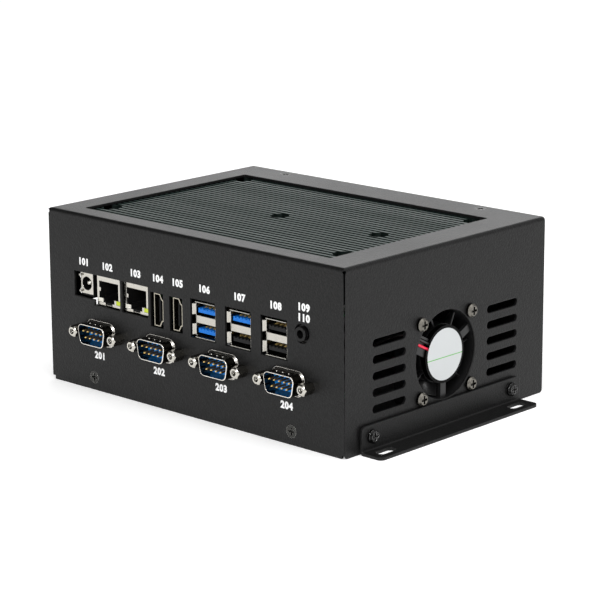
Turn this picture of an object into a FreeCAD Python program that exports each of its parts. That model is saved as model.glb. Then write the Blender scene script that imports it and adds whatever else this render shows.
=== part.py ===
import FreeCAD, Part
import math
import os

V = FreeCAD.Vector

# Case: a folded steel cover over a bottom plate that carries the rear wall
case_width = 178.0
case_depth = 129.5
case_height = 79.0
sheet = 1.2
bend_radius = 1.7
seam_gap = 0.75
seam_closed = 0.15
seam_straight = 22.0
relief_radius = 0.8
wall_corner = 1.6
tray_gap = 0.2
tray_height = 10.0
rear_flange = 12.0
rear_notch = 1.2
window_width = 147.6
window_depth = 101.2
window_x = -1.6
window_margin = 9.9
window_corner = 1.0

# Ventilation slots in the side walls, in two groups beside the fan
vent_rows = 5
vent_pitch = 6.95
vent_length = 20.7
vent_height = 3.5
vent_front_offset = 35.9
vent_back_offset = 37.4

# Metric 3 mm screws and what takes them
thread_radius = 1.5
shank_radius = 1.45
clear_radius = 1.65
pan_head_radius = 3.0
pan_head_height = 2.0
sunk_head_radius = 2.75
sunk_head_height = 1.1
sunk_clearance = 0.05
cross_length = 3.5
cross_width = 0.95
cross_depth = 1.0
nut_flats = 5.5
nut_height = 2.4
press_nut_radius = 3.0
press_nut_height = 1.8
press_screw_length = 5.0
wall_screw_spacing = 120.4
wall_screw_x = -0.8
wall_screw_height = 5.75
top_screw_spacing = 118.5
top_screw_x = -2.1
top_screw_inset = 5.0

# Wall brackets: the same folded angle on both sides, turned half a turn
bracket_offset = 4.75
bracket_length = 103.0
bracket_height = 11.8
bracket_reach = 11.7
bracket_sheet = 1.2
bracket_bend = 1.8
bracket_corner = 2.5
bracket_boss_radius = 3.2
bracket_boss_height = 0.5
bracket_screw_inset = 6.25
bracket_screw_height = 7.0
bracket_slot_inset = 8.75
bracket_slot_length = 10.0
bracket_slot_width = 4.4
bracket_slot_reach = 6.4

# Heatsink under the window of the cover
fin_gap = 0.3
fin_pitch = 3.25
fin_thickness = 1.6
fin_count = 32
heatsink_width = 146.0
heatsink_x = -3.0
heatsink_base = 4.5
heatsink_margin = 10.3
pocket_radius = 4.2
corner_hole_spacing_x = 138.6
corner_hole_spacing_y = 84.0
corner_hole_margin = 24.0
middle_hole_spacing = 57.8
middle_hole_x = 25.2
middle_hole_y = -4.55
heatsink_screw_length = 13.0

# Mainboard, hung upside down under the heatsink
spacer_height = 3.3
spacer_radius = 2.8
board_thickness = 1.6
board_width = 148.0
board_front_gap = 1.0
board_back_margin = 4.0
pillar_flats = 5.5
pillar_bore_depth = 8.0
chip_size = 12.0
chip_height = 1.2
chip_x = -60.0
chip_y = 15.0
chip_pitch = 26.0
hub_size = 17.0
hub_x = 40.0
hub_y = 22.0
coil_count = 4
coil_size = 6.6
coil_height = 3.4
coil_pitch = 9.0
coil_x = 42.5
coil_y = 3.0
package_size = 28.0
package_height = 1.1
die_width = 12.0
die_depth = 9.0
die_height = 0.8
heat_plate_width = 40.0
heat_plate_depth = 32.0
memory_x = -12.0
memory_y = 30.0
memory_width = 67.6
memory_depth = 30.0
memory_thickness = 1.2
memory_drop = 3.2
memory_socket_depth = 7.0
memory_socket_height = 5.2
memory_arm = 3.0
cell_x = 41.0
cell_y = -30.0
cell_radius = 10.0
cell_height = 3.2
cell_wall = 1.5
cell_floor = 1.2

# Storage drive on the tray
drive_width = 100.2
drive_depth = 69.85
drive_height = 7.0
drive_x = -3.0
drive_y = 5.0
drive_hole_spacing_x = 76.6
drive_hole_spacing_y = 61.7
drive_corner = 1.5

# Serial ports: four plugs on a board of their own
serial_count = 4
serial_pitch = 37.9
serial_x = 0.95
serial_lift = 10.4
port_row_gap = 3.0
serial_board_depth = 17.0
serial_board_gap = 1.0
shell_width = 17.9
shell_height = 9.3
shell_corner = 2.6
shell_slant = 10.0
shell_wall = 0.45
shell_reach = 5.9
shell_lip = 0.3
step_depth = 1.1
root_depth = 0.7
root_rim = 0.75
dimple_count = 3
dimple_pitch = 3.4
dimple_setback = 2.9
dimple_radius = 0.6
dimple_height = 0.3
base_rim = 0.9
flange_width = 30.8
flange_height = 12.5
flange_thickness = 0.8
port_clearance = 0.3
rear_block_width = 19.0
rear_block_depth = 9.0
pin_radius = 0.5
pin_pitch = 2.77
pin_row_gap = 2.84
pin_reach = 5.6
pin_tail = 5.0
jackscrew_spacing = 25.0
jackscrew_flats = 4.75
jackscrew_reach = 6.0
jackscrew_stud = 1.4
jackscrew_stud_length = 3.6
jackscrew_bore = 1.25
jackscrew_bore_depth = 4.2
standoff_screw_length = 5.0

# Network sockets
network_x = -51.1
network_pitch = 17.8
network_width = 15.9
network_height = 13.0
network_depth = 21.0
network_setback = 1.55
network_wall = 0.4
network_cut_gap = 0.45
network_top_bar = 2.2
network_opening_shift = -0.55
network_opening_width = 12.4
network_opening_height = 7.55
network_opening_depth = 14.0
network_tab_drop = 5.1
network_tab_height = 1.7
network_tab_width = 1.0
latch_width = 7.0
latch_height = 1.9
latch_split = 4.6
light_width = 3.3
light_height = 1.9
light_depth = 3.0
light_inset = 0.45
light_lift = 1.35
contact_count = 8
contact_pitch = 1.02
contact_width = 0.45
contact_length = 9.0
contact_tilt = 16.0

# Power inlet and audio socket
inlet_x = -66.3
inlet_drop = 5.0
inlet_width = 7.9
inlet_height = 10.6
inlet_depth = 13.0
inlet_setback = 2.0
inlet_face_height = 9.4
inlet_face_thickness = 0.4
inlet_bump_radius = 0.5
inlet_bump_length = 1.0
inlet_bump_inset = 1.1
inlet_bore = 3.1
inlet_bore_depth = 10.0
inlet_pin_radius = 1.0
inlet_pin_length = 9.5
inlet_cut_margin = 6.1
inlet_cut_drop = 11.0
audio_x = 65.8
audio_drop = 4.0
audio_width = 8.4
audio_depth = 12.0
audio_proud = 1.2
audio_nose = 3.0
audio_bore = 1.8
audio_bore_depth = 11.0
audio_hole = 4.15

# Video sockets, standing on edge
video_x = -19.15
video_pitch = 11.75
video_width = 5.6
video_height = 14.4
video_drop = 1.7
video_depth = 11.0
video_setback = 0.9
video_wall = 0.4
video_shoulder_x = 1.9
video_waist_x = 0.9
video_waist_z = 2.0
video_shoulder_z = 2.6
video_cut_gap = 0.9
video_cut_left = 1.55
video_tongue = 1.1
video_tongue_height = 10.5

# Stacked bus sockets, two openings in each
stacked_x = 9.3
stacked_pitch = 20.65
stacked_width = 13.3
stacked_height = 15.0
stacked_drop = 1.5
stacked_depth = 17.5
stacked_setback = 1.8
stacked_wall = 0.35
stacked_divider = 3.2
stacked_opening_depth = 11.0
stacked_cut_left = 1.5
stacked_cut_right = 0.25
stacked_cut_above = 1.55
stacked_cut_below = 0.5
stacked_leg = 3.0
lip_reach = 1.3
lip_flare = 0.95
lip_rise = 0.5
lip_drop = 0.25
lip_corner = 0.9
tongue_width = 11.1
tongue_thickness = 1.9
tongue_floor_gap = 1.3
tongue_setback = 0.5
notch_count = 5
notch_pitch = 2.0
notch_width = 1.0
notch_height = 0.5
notch_depth = 0.9
pad_width = 1.1
pad_pitch = 2.5
pad_setback = 2.2
pad_slope = 1.2
pad_crest = 1.0
pad_length = 6.5
pad_height = 0.5

# Cooling fan on the right wall
fan_y = -1.65
fan_z = 31.0
fan_size = 40.0
fan_depth = 10.0
fan_corner = 3.0
fan_hole_spacing = 32.0
fan_bore = 19.0
fan_opening_extra = 0.1
fan_rim = 0.25
fan_hub_radius = 12.4
fan_hub_proud = 0.6
fan_hub_thickness = 1.8
strut_width = 3.4
strut_thickness = 1.6
strut_angles = (26.0, 270.0)
lead_strut_angle = 152.4
lead_strut_width = 7.9
lead_strut_shift = 1.05
cup_clearance = 0.5
cup_radius = 12.6
cup_wall = 0.7
cup_cap = 0.9
magnet_thickness = 1.2
stator_radius = 9.2
stator_core = 3.2
stator_height = 4.0
stator_teeth = 4
bearing_radius = 2.4
bearing_tube_wall = 0.8
bearing_length = 6.0
shaft_radius = 1.0
shaft_clearance = 0.04
blade_count = 7
blade_tip_gap = 0.6
blade_thickness = 0.7
blade_root_chord = 7.6
blade_tip_chord = 10.4
blade_camber = 0.9
rotor_back_gap = 0.4
fan_screw_length = 15.0

# Fan leads and their plug
lead_radius = 0.62
lead_spacing = 2.3
lead_clearance = 0.18
lead_start_radius = 8.6
lead_edge_radius = 27.6
lead_channel_depth = 1.5
lead_inward = 10.6
lead_forward = 1.0
lead_sink = 5.6
lead_stagger = 1.0
lead_loop = 14.0
plug_x = 58.0
plug_y = -29.0
plug_width = 7.4
plug_depth = 4.6
plug_height = 7.0
header_height = 3.2
header_pin = 0.32
header_pitch = 2.54

# Power button and lamps in the rear wall
button_x = 45.0
button_z = 38.0
button_flange_radius = 7.2
button_flange_height = 1.6
button_barrel_radius = 5.9
button_barrel_length = 14.0
button_cap_radius = 4.2
button_cap_length = 5.0
button_cap_proud = 1.8
button_fit = 0.08
button_travel = 1.5
button_nut_flats = 14.0
button_nut_height = 2.2
lamp_offset = 14.0
lamp_pitch = 7.0
lamp_radius = 1.5
lamp_proud = 0.6
lamp_length = 5.0
lamp_collar = 0.7

# Levels and planes that follow from the sizes above
half_width = case_width / 2
front = -case_depth / 2
back = case_depth / 2
wall_in = half_width - sheet
serial_z = tray_height + serial_lift + flange_height / 2
board_under = (serial_z + flange_height / 2 + port_row_gap + stacked_height
               + stacked_drop)
board_top = board_under + board_thickness
base_under = board_top + spacer_height
base_top = base_under + heatsink_base
fin_top = case_height - sheet - fin_gap
fin_height = fin_top - base_top
board_front = front + sheet + board_front_gap
corner_rows = (front + corner_hole_margin,
               front + corner_hole_margin + corner_hole_spacing_y)
corner_columns = (heatsink_x - corner_hole_spacing_x / 2,
                  heatsink_x + corner_hole_spacing_x / 2)
board_back = corner_rows[1] + board_back_margin
corner_holes = [(x, y) for x in corner_columns for y in corner_rows]
middle_holes = [(middle_hole_x + side * middle_hole_spacing / 2, middle_hole_y)
                for side in (-1, 1)]
board_holes = corner_holes + middle_holes
serial_columns = [serial_x + (i - (serial_count - 1) / 2) * serial_pitch
                  for i in range(serial_count)]
serial_board_top = serial_z - flange_height / 2
serial_board_under = serial_board_top - board_thickness
serial_flange_front = front + sheet
serial_gaps = [(a + b) / 2 for a, b in zip(serial_columns, serial_columns[1:])]
standoff_y = serial_flange_front + serial_board_gap + serial_board_depth / 2
network_columns = [network_x + i * network_pitch for i in range(2)]
video_columns = [video_x + i * video_pitch for i in range(2)]
stacked_columns = [stacked_x + i * stacked_pitch for i in range(3)]
stacked_top = board_under - stacked_drop
stacked_opening = (stacked_height - stacked_divider) / 2 - stacked_wall
video_top = board_under - video_drop
inlet_z = board_under - inlet_drop
audio_z = board_under - audio_drop
wall_screws_x = [wall_screw_x + side * wall_screw_spacing / 2 for side in (-1, 1)]
top_screws_x = [top_screw_x + side * top_screw_spacing / 2 for side in (-1, 1)]
tray_width = case_width - 2 * (sheet + tray_gap)
tray_front = front + sheet + tray_gap
rear_wall_top = case_height - sheet - tray_gap
bracket_screws = [(side, end * (bracket_length / 2 - bracket_screw_inset)
                   - side * bracket_offset) for side in (-1, 1) for end in (-1, 1)]
drive_screws = [(drive_x + sx * drive_hole_spacing_x / 2,
                 drive_y + sy * drive_hole_spacing_y / 2)
                for sx in (-1, 1) for sy in (-1, 1)]
tray_holes = corner_holes + [(x, standoff_y) for x in serial_gaps] + drive_screws
fan_holes = [(fan_y + sy * fan_hole_spacing / 2, fan_z + sz * fan_hole_spacing / 2)
             for sy in (-1, 1) for sz in (-1, 1)]
vent_columns = (fan_y - vent_front_offset, fan_y + vent_back_offset)
vent_levels = [fan_z + (i - (vent_rows - 1) / 2) * vent_pitch for i in range(vent_rows)]
lamp_columns = [button_x - lamp_offset - i * lamp_pitch for i in range(2)]


# Plain solids
def block(x0, x1, y0, y1, z0, z1):
    return Part.makeBox(x1 - x0, y1 - y0, z1 - z0, V(x0, y0, z0))


def rod(radius, length, start, direction):
    return Part.makeCylinder(radius, length, start, direction)


def prism(points, direction):
    return Part.Face(Part.makePolygon(points + points[:1])).extrude(direction)


def hexagon(flats, height):
    radius = flats / math.sqrt(3)
    corners = [V(radius * math.cos(math.radians(60 * i)),
                 radius * math.sin(math.radians(60 * i)), 0) for i in range(6)]
    return prism(corners, V(0, 0, height))


def round_edges_along(shape, direction, radius, test=None):
    chosen = []
    for edge in shape.Edges:
        if edge.Curve.TypeId != "Part::GeomLine":
            continue
        if abs(abs(edge.tangentAt(edge.FirstParameter).dot(direction)) - 1) > 1e-6:
            continue
        if test is None or test(edge.CenterOfMass):
            chosen.append(edge)
    return shape.makeFillet(radius, chosen)


def turned(shape, outward, position):
    # A piece built along +Z is turned to face outward and put in its place
    copy = shape.copy()
    copy.Placement = FreeCAD.Placement(V(*position), FreeCAD.Rotation(V(0, 0, 1), outward))
    return copy


def together(shapes):
    whole = shapes[0]
    if len(shapes) > 1:
        whole = whole.fuse(shapes[1:])
    return whole.removeSplitter()


# Fasteners, built with the head's outer face up and the shank downwards
def cross_recess(top):
    long_bar = block(-cross_length / 2, cross_length / 2, -cross_width / 2, cross_width / 2,
                     top - cross_depth, top)
    cross_bar = block(-cross_width / 2, cross_width / 2, -cross_length / 2, cross_length / 2,
                      top - cross_depth, top)
    return long_bar.fuse(cross_bar)


def pan_screw(length):
    # The head's underside is at zero
    crown = pan_head_height * 0.45
    head = rod(pan_head_radius, pan_head_height - crown, V(0, 0, 0), V(0, 0, 1))
    dome = Part.makeCone(pan_head_radius, pan_head_radius * 0.72, crown,
                         V(0, 0, pan_head_height - crown))
    shank = rod(shank_radius, length, V(0, 0, -length), V(0, 0, 1))
    return together([head, dome, shank]).cut(cross_recess(pan_head_height))


def sunk_screw(length):
    # The head's flat face is at zero
    head = Part.makeCone(shank_radius, sunk_head_radius, sunk_head_height,
                         V(0, 0, -sunk_head_height))
    shank = rod(shank_radius, length, V(0, 0, -length), V(0, 0, 1))
    return together([head, shank]).cut(cross_recess(0))


def sunk_hole(depth):
    # The room that a countersunk screw needs in a sheet whose face is at zero
    mouth = sunk_head_radius + sunk_clearance
    cone = Part.makeCone(shank_radius + sunk_clearance, mouth, sunk_head_height,
                         V(0, 0, -sunk_head_height))
    return cone.fuse(rod(clear_radius, depth, V(0, 0, -depth), V(0, 0, 1)))


def threaded_nut(flats, height, bore):
    return hexagon(flats, height).cut(rod(bore, height, V(0, 0, 0), V(0, 0, 1)))


# Folded sheet
def folded_box(x_half, y0, y1, z0, z1, closed_sides):
    # A box of sheet, open on the sides that aren't named, with rounded folds
    outer = block(-x_half, x_half, y0, y1, z0, z1)
    spare = 2 * bend_radius
    grow = {side: -sheet if side in closed_sides else spare
            for side in ("left", "right", "front", "back", "below", "above")}
    inner = block(-x_half - grow["left"], x_half + grow["right"], y0 - grow["front"],
                  y1 + grow["back"], z0 - grow["below"], z1 + grow["above"])
    return outer.makeFillet(bend_radius, folds(outer, closed_sides)).cut(
        inner.makeFillet(bend_radius - sheet, folds(inner, closed_sides)))


def folds(box, closed_sides):
    # The edges where the closed top or bottom meets a closed wall
    limits = box.BoundBox
    level = limits.ZMax if "above" in closed_sides else limits.ZMin
    walls = {"left": ("x", limits.XMin), "right": ("x", limits.XMax),
             "front": ("y", limits.YMin), "back": ("y", limits.YMax)}
    chosen = []
    for edge in box.Edges:
        middle = edge.CenterOfMass
        if abs(middle.z - level) > 1e-6:
            continue
        for side in closed_sides:
            axis, place = walls.get(side, ("z", None))
            if place is not None and abs(getattr(middle, axis) - place) < 1e-6:
                chosen.append(edge)
    return chosen


def corner_seam(sx, sy, corner_x, corner_y, z0, z1, straight=0):
    # The mitre seam between two folded walls; it can be nearly closed up to a height
    low = seam_closed / 2 if straight else seam_gap / 2
    side = [V(-3 * sheet, low, z0), V(-3 * sheet, low, max(straight, z0)),
            V(-3 * sheet, seam_gap / 2, z1)]
    if not straight:
        side = [side[0], side[2]]
    mirrored = [V(p.x, -p.y, p.z) for p in reversed(side)]
    slit = prism(side + mirrored, V(6 * sheet, 0, 0))
    slit.rotate(V(0, 0, 0), V(0, 0, 1), 45 * sx * sy)
    slit.translate(V(sx * (corner_x - sheet / 2), sy * (corner_y - sheet / 2), 0))
    return slit


def slot(length, height, depth):
    # A round-ended slot along Y, cut through along X from the origin
    half = (length - height) / 2
    ends = [rod(height / 2, depth, V(0, side * half, 0), V(1, 0, 0)) for side in (-1, 1)]
    return block(0, depth, -half, half, -height / 2, height / 2).fuse(ends)


def d_prism(width, height, corner, y0, y1, x, z):
    # The tapered outline of a serial plug, wide side up
    lean = height * math.tan(math.radians(shell_slant))
    points = [V(x - width / 2, y0, z + height / 2), V(x + width / 2, y0, z + height / 2),
              V(x + width / 2 - lean, y0, z - height / 2),
              V(x - width / 2 + lean, y0, z - height / 2)]
    return round_edges_along(prism(points, V(0, y1 - y0, 0)), V(0, 1, 0), corner)


def d_outline(width, height, corner, y, x, z):
    plug = d_prism(width, height, corner, y, y + 1, x, z)
    return min(plug.Faces, key=lambda face: face.CenterOfMass.y).OuterWire


# Cover and tray
def port_cuts():
    y0 = front - 1
    y1 = front + sheet + 1
    cuts = []
    network_edge = network_width / 2 + network_cut_gap
    top = board_under + network_cut_gap
    low = board_under - network_height - network_cut_gap
    for x in network_columns:
        cuts.append(block(x - network_edge, x + network_edge, y0, y1, low, top))
    cuts.append(block(inlet_x - inlet_cut_margin, network_columns[0], y0, y1,
                      board_under - inlet_cut_drop, top))
    for x in video_columns:
        half = video_width / 2
        cuts.append(block(x - half - video_cut_left, x + half + video_cut_gap, y0, y1,
                          video_top - video_height - video_cut_gap / 2,
                          video_top + video_cut_gap / 2))
    for x in stacked_columns:
        half = stacked_width / 2
        cuts.append(block(x - half - stacked_cut_left, x + half + stacked_cut_right, y0, y1,
                          stacked_top - stacked_height - stacked_cut_below,
                          stacked_top + stacked_cut_above))
    cuts.append(rod(audio_hole, y1 - y0, V(audio_x, y0, audio_z), V(0, 1, 0)))
    for x in serial_columns:
        rim = 2 * (base_rim + port_clearance)
        cuts.append(d_prism(shell_width + rim, shell_height + rim,
                            shell_corner + base_rim + port_clearance, y0, y1, x, serial_z))
        for side in (-1, 1):
            cuts.append(rod(jackscrew_stud + port_clearance / 2, y1 - y0,
                            V(x + side * jackscrew_spacing / 2, y0, serial_z), V(0, 1, 0)))
    return cuts


def side_cuts():
    cuts = []
    through = 2 * sheet + 2
    for side in (-1, 1):
        x0 = side * half_width - through / 2
        for y in vent_columns:
            for z in vent_levels:
                vent = slot(vent_length, vent_height, through)
                vent.translate(V(x0, y, z))
                cuts.append(vent)
    for side, y in bracket_screws:
        cuts.append(rod(clear_radius, through,
                        V(side * half_width - through / 2, y, bracket_screw_height),
                        V(1, 0, 0)))
    x0 = half_width - through / 2
    outlet = fan_bore + fan_opening_extra
    cuts.append(rod(outlet, through, V(x0, fan_y, fan_z), V(1, 0, 0)))
    cuts.append(Part.makeCone(outlet, outlet + fan_rim, fan_rim,
                              V(half_width - fan_rim, fan_y, fan_z), V(1, 0, 0)))
    for y, z in fan_holes:
        cuts.append(rod(clear_radius, through, V(x0, y, z), V(1, 0, 0)))
    return cuts


def make_cover():
    shell = folded_box(half_width, front, back, 0, case_height,
                       ("left", "right", "front", "above"))
    window_front = front + window_margin
    window = block(window_x - window_width / 2, window_x + window_width / 2,
                   window_front, window_front + window_depth,
                   case_height - 2 * sheet, case_height + sheet)
    window = round_edges_along(window, V(0, 0, 1), window_corner)
    cuts = [window] + port_cuts() + side_cuts()
    for sx in (-1, 1):
        cuts.append(corner_seam(sx, -1, half_width, back, -1, case_height - bend_radius,
                                seam_straight))
        cuts.append(rod(relief_radius, 4 * sheet,
                        V(sx * (half_width - 2 * sheet), front + 2 * sheet,
                          case_height - bend_radius), V(sx, -1, 0)))
        cuts.append(wall_corner_cut(sx, -1, False))
        cuts.append(wall_corner_cut(sx, -1, True))
        cuts.append(wall_corner_cut(sx, 1, True))
    for x in wall_screws_x:
        cuts.append(turned(sunk_hole(2 * sheet), V(0, -1, 0), (x, front, wall_screw_height)))
    for x in top_screws_x:
        cuts.append(turned(sunk_hole(2 * sheet), V(0, 0, 1),
                           (x, back - top_screw_inset, case_height)))
    return shell.cut(cuts)


def wall_corner_cut(sx, sy, side_wall):
    # What rounds off the free lower corner of one wall, up to the mitre at its end
    end = seam_closed / math.sqrt(2) if sy < 0 else 0
    centre = -end - wall_corner
    reach = sheet if sy < 0 else 2 * sheet
    outline = [(centre, -2 * sheet), (-2 * sheet, -2 * sheet), (sheet, reach), (centre, reach)]
    if sy > 0:
        outline = [(centre, -2 * sheet), (sheet, -2 * sheet), (sheet, sheet), (centre, sheet)]

    def placed(along, out, z):
        # Along runs to the end of the wall, out runs away from the case
        if side_wall:
            return V(sx * (half_width + out), sy * (back + along), z)
        return V(sx * (half_width + along), sy * (back + out), z)

    wedge = prism([placed(u, v, -1) for u, v in outline], V(0, 0, 1 + wall_corner))
    start = placed(centre, -3 * sheet, wall_corner)
    keep = rod(wall_corner, 6 * sheet, start, placed(centre, sheet, wall_corner) - start)
    return wedge.cut(keep)


def make_tray():
    # Bottom plate with its edges turned up, and the rear wall with a flange on top
    pan = folded_box(tray_width / 2, tray_front, back, 0, tray_height,
                     ("left", "right", "front", "back", "below"))
    rear = folded_box(tray_width / 2, back - rear_flange, back, tray_height - sheet,
                      rear_wall_top, ("back", "above"))
    tray = pan.fuse(rear).removeSplitter()
    cuts = [corner_seam(sx, sy, tray_width / 2, abs(edge), bend_radius, tray_height + 1)
            for sx in (-1, 1) for sy, edge in ((-1, tray_front), (1, back))]
    for sx in (-1, 1):
        end = sx * (tray_width / 2 - rear_notch)
        notch = block(0, 2 * rear_notch, back - 2 * rear_flange, back + 1,
                      rear_wall_top - bend_radius, rear_wall_top + 1)
        notch.translate(V(end if sx > 0 else end - 2 * rear_notch, 0, 0))
        cuts.append(notch)
    cuts += [turned(sunk_hole(2 * sheet), V(0, 0, -1), (x, y, 0)) for x, y in tray_holes]
    for x in wall_screws_x:
        cuts.append(rod(clear_radius, 4 * sheet, V(x, front, wall_screw_height), V(0, 1, 0)))
    for x in top_screws_x:
        cuts.append(rod(clear_radius, 4 * sheet, V(x, back - top_screw_inset, case_height),
                        V(0, 0, -1)))
    for side, y in bracket_screws:
        cuts.append(rod(clear_radius, 4 * sheet, V(side * half_width, y, bracket_screw_height),
                        V(-side, 0, 0)))
    cuts.append(rod(button_barrel_radius + tray_gap, 3 * sheet,
                    V(button_x, back + sheet, button_z), V(0, -1, 0)))
    for x in lamp_columns:
        cuts.append(rod(lamp_radius + tray_gap / 2, 3 * sheet,
                        V(x, back + sheet, button_z), V(0, -1, 0)))
    return tray.cut(cuts)


def make_press_nuts():
    nut = rod(press_nut_radius, press_nut_height, V(0, 0, 0), V(0, 0, 1)).cut(
        rod(thread_radius, press_nut_height, V(0, 0, 0), V(0, 0, 1)))
    inset = 2 * sheet + tray_gap
    nuts = [turned(nut, V(0, 1, 0), (x, front + inset, wall_screw_height))
            for x in wall_screws_x]
    nuts += [turned(nut, V(0, 0, -1), (x, back - top_screw_inset, case_height - inset))
             for x in top_screws_x]
    nuts += [turned(nut, V(-side, 0, 0), (side * (half_width - inset), y, bracket_screw_height))
             for side, y in bracket_screws]
    return Part.makeCompound(nuts)


def make_sunk_screws():
    # Cover screws in front and on top, and those that come up through the bottom plate
    screw = sunk_screw(press_screw_length)
    screws = [turned(screw, V(0, -1, 0), (x, front, wall_screw_height)) for x in wall_screws_x]
    screws += [turned(screw, V(0, 0, 1), (x, back - top_screw_inset, case_height))
               for x in top_screws_x]
    screws += [turned(screw, V(0, 0, -1), (x, y, 0)) for x, y in tray_holes]
    return Part.makeCompound(screws)


def make_bracket(side):
    # An angle whose upright seats on the case wall with two pressed bosses
    upright = block(0, bracket_sheet, -bracket_length / 2, bracket_length / 2,
                    0, bracket_height)
    upright = round_edges_along(upright, V(1, 0, 0), bracket_corner,
                                lambda p: p.z > bracket_height / 2)
    foot = block(0, bracket_reach, -bracket_length / 2, bracket_length / 2, 0, bracket_sheet)
    foot = round_edges_along(foot, V(0, 0, 1), bracket_corner,
                             lambda p: p.x > bracket_reach / 2)
    angle = upright.fuse(foot).removeSplitter()
    angle = round_edges_along(angle, V(0, 1, 0), bracket_bend,
                              lambda p: abs(p.x) < 1e-6 and abs(p.z) < 1e-6)
    angle = round_edges_along(angle, V(0, 1, 0), bracket_bend - bracket_sheet,
                              lambda p: abs(p.x - bracket_sheet) < 1e-6
                              and abs(p.z - bracket_sheet) < 1e-6)
    bosses = []
    cuts = []
    for end in (-1, 1):
        hole = slot(bracket_slot_length, bracket_slot_width, 4 * bracket_sheet)
        hole.rotate(V(0, 0, 0), V(0, 1, 0), -90)
        hole.translate(V(bracket_slot_reach,
                         end * (bracket_length / 2 - bracket_slot_inset), -bracket_sheet))
        cuts.append(hole)
        start = V(-bracket_boss_height, end * (bracket_length / 2 - bracket_screw_inset),
                  bracket_screw_height)
        bosses.append(rod(bracket_boss_radius, bracket_boss_height, start, V(1, 0, 0)))
        cuts.append(rod(clear_radius, 4 * bracket_sheet, start - V(bracket_sheet, 0, 0),
                        V(1, 0, 0)))
    angle = together([angle] + bosses).cut(cuts)
    if side < 0:
        angle = angle.mirror(V(0, 0, 0), V(1, 0, 0))
    angle.translate(V(side * (half_width + bracket_boss_height), -side * bracket_offset, 0))
    return angle


def make_bracket_screws():
    stand = bracket_boss_height + bracket_sheet
    screw = pan_screw(press_screw_length + stand)
    return Part.makeCompound([
        turned(screw, V(side, 0, 0), (side * (half_width + stand), y, bracket_screw_height))
        for side, y in bracket_screws])


# Heatsink and what hangs from it
def make_heatsink():
    # One extruded comb, with a round pocket down to the base at each screw
    x0 = heatsink_x - heatsink_width / 2
    y0 = front + heatsink_margin
    y1 = y0 + (fin_count - 1) * fin_pitch + fin_thickness
    outline = [V(x0, y0, base_under)]
    for i in range(fin_count):
        left = y0 + i * fin_pitch
        right = left + fin_thickness
        if i:
            outline.append(V(x0, left, base_top))
        outline.append(V(x0, left, fin_top))
        outline.append(V(x0, right, fin_top))
        if i < fin_count - 1:
            outline.append(V(x0, right, base_top))
    outline.append(V(x0, y1, base_under))
    comb = prism(outline, V(heatsink_width, 0, 0))
    cuts = []
    for x, y in board_holes:
        cuts.append(rod(pocket_radius, fin_height + 1, V(x, y, base_top), V(0, 0, 1)))
        cuts.append(rod(clear_radius, heatsink_base + 2, V(x, y, base_under - 1), V(0, 0, 1)))
    return comb.cut(cuts)


def make_heatsink_screws():
    screw = pan_screw(heatsink_screw_length)
    return Part.makeCompound([turned(screw, V(0, 0, 1), (x, y, base_top))
                              for x, y in board_holes])


def make_spacers():
    ring = rod(spacer_radius, spacer_height, V(0, 0, 0), V(0, 0, 1)).cut(
        rod(clear_radius, spacer_height, V(0, 0, 0), V(0, 0, 1)))
    return Part.makeCompound([turned(ring, V(0, 0, 1), (x, y, board_top))
                              for x, y in board_holes])


def make_pillars():
    height = board_under - sheet
    post = hexagon(pillar_flats, height)
    post = post.cut([rod(thread_radius, pillar_bore_depth, V(0, 0, 0), V(0, 0, 1)),
                     rod(thread_radius, pillar_bore_depth,
                         V(0, 0, height - pillar_bore_depth), V(0, 0, 1))])
    return Part.makeCompound([turned(post, V(0, 0, 1), (x, y, sheet))
                              for x, y in corner_holes])


def make_hex_nuts():
    # Two under the mainboard and four behind the fan
    nut = threaded_nut(nut_flats, nut_height, thread_radius)
    nuts = [turned(nut, V(0, 0, -1), (x, y, board_under)) for x, y in middle_holes]
    nuts += [turned(nut, V(-1, 0, 0), (wall_in - fan_depth, y, z)) for y, z in fan_holes]
    return Part.makeCompound(nuts)


def make_mainboard():
    x0 = heatsink_x - board_width / 2
    plate = block(x0, x0 + board_width, board_front, board_back, board_under, board_top)
    plate = plate.cut([rod(clear_radius, board_thickness, V(x, y, board_under), V(0, 0, 1))
                       for x, y in board_holes])
    # Chips and coils soldered under the board: place, size and height
    chips = [(chip_x, chip_y + side * chip_pitch / 2, chip_size, chip_height)
             for side in (-1, 1)]
    chips.append((hub_x, hub_y, hub_size, chip_height))
    coils = [(coil_x + (i - (coil_count - 1) / 2) * coil_pitch, coil_y, coil_size, coil_height)
             for i in range(coil_count)]
    parts = [block(x - size / 2, x + size / 2, y - size / 2, y + size / 2,
                   board_under - height, board_under)
             for x, y, size, height in chips + coils]
    return together([plate] + parts)


def make_processor():
    x, y = middle_hole_x, middle_hole_y
    half = package_size / 2
    package = block(x - half, x + half, y - half, y + half,
                    board_top, board_top + package_height)
    die = block(x - die_width / 2, x + die_width / 2, y - die_depth / 2, y + die_depth / 2,
                board_top + package_height, board_top + package_height + die_height)
    return together([package, die])


def make_heat_plate():
    x, y = middle_hole_x, middle_hole_y
    plate = block(x - heat_plate_width / 2, x + heat_plate_width / 2,
                  y - heat_plate_depth / 2, y + heat_plate_depth / 2,
                  board_top + package_height + die_height, base_under)
    return round_edges_along(plate, V(0, 0, 1), spacer_radius)


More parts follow.
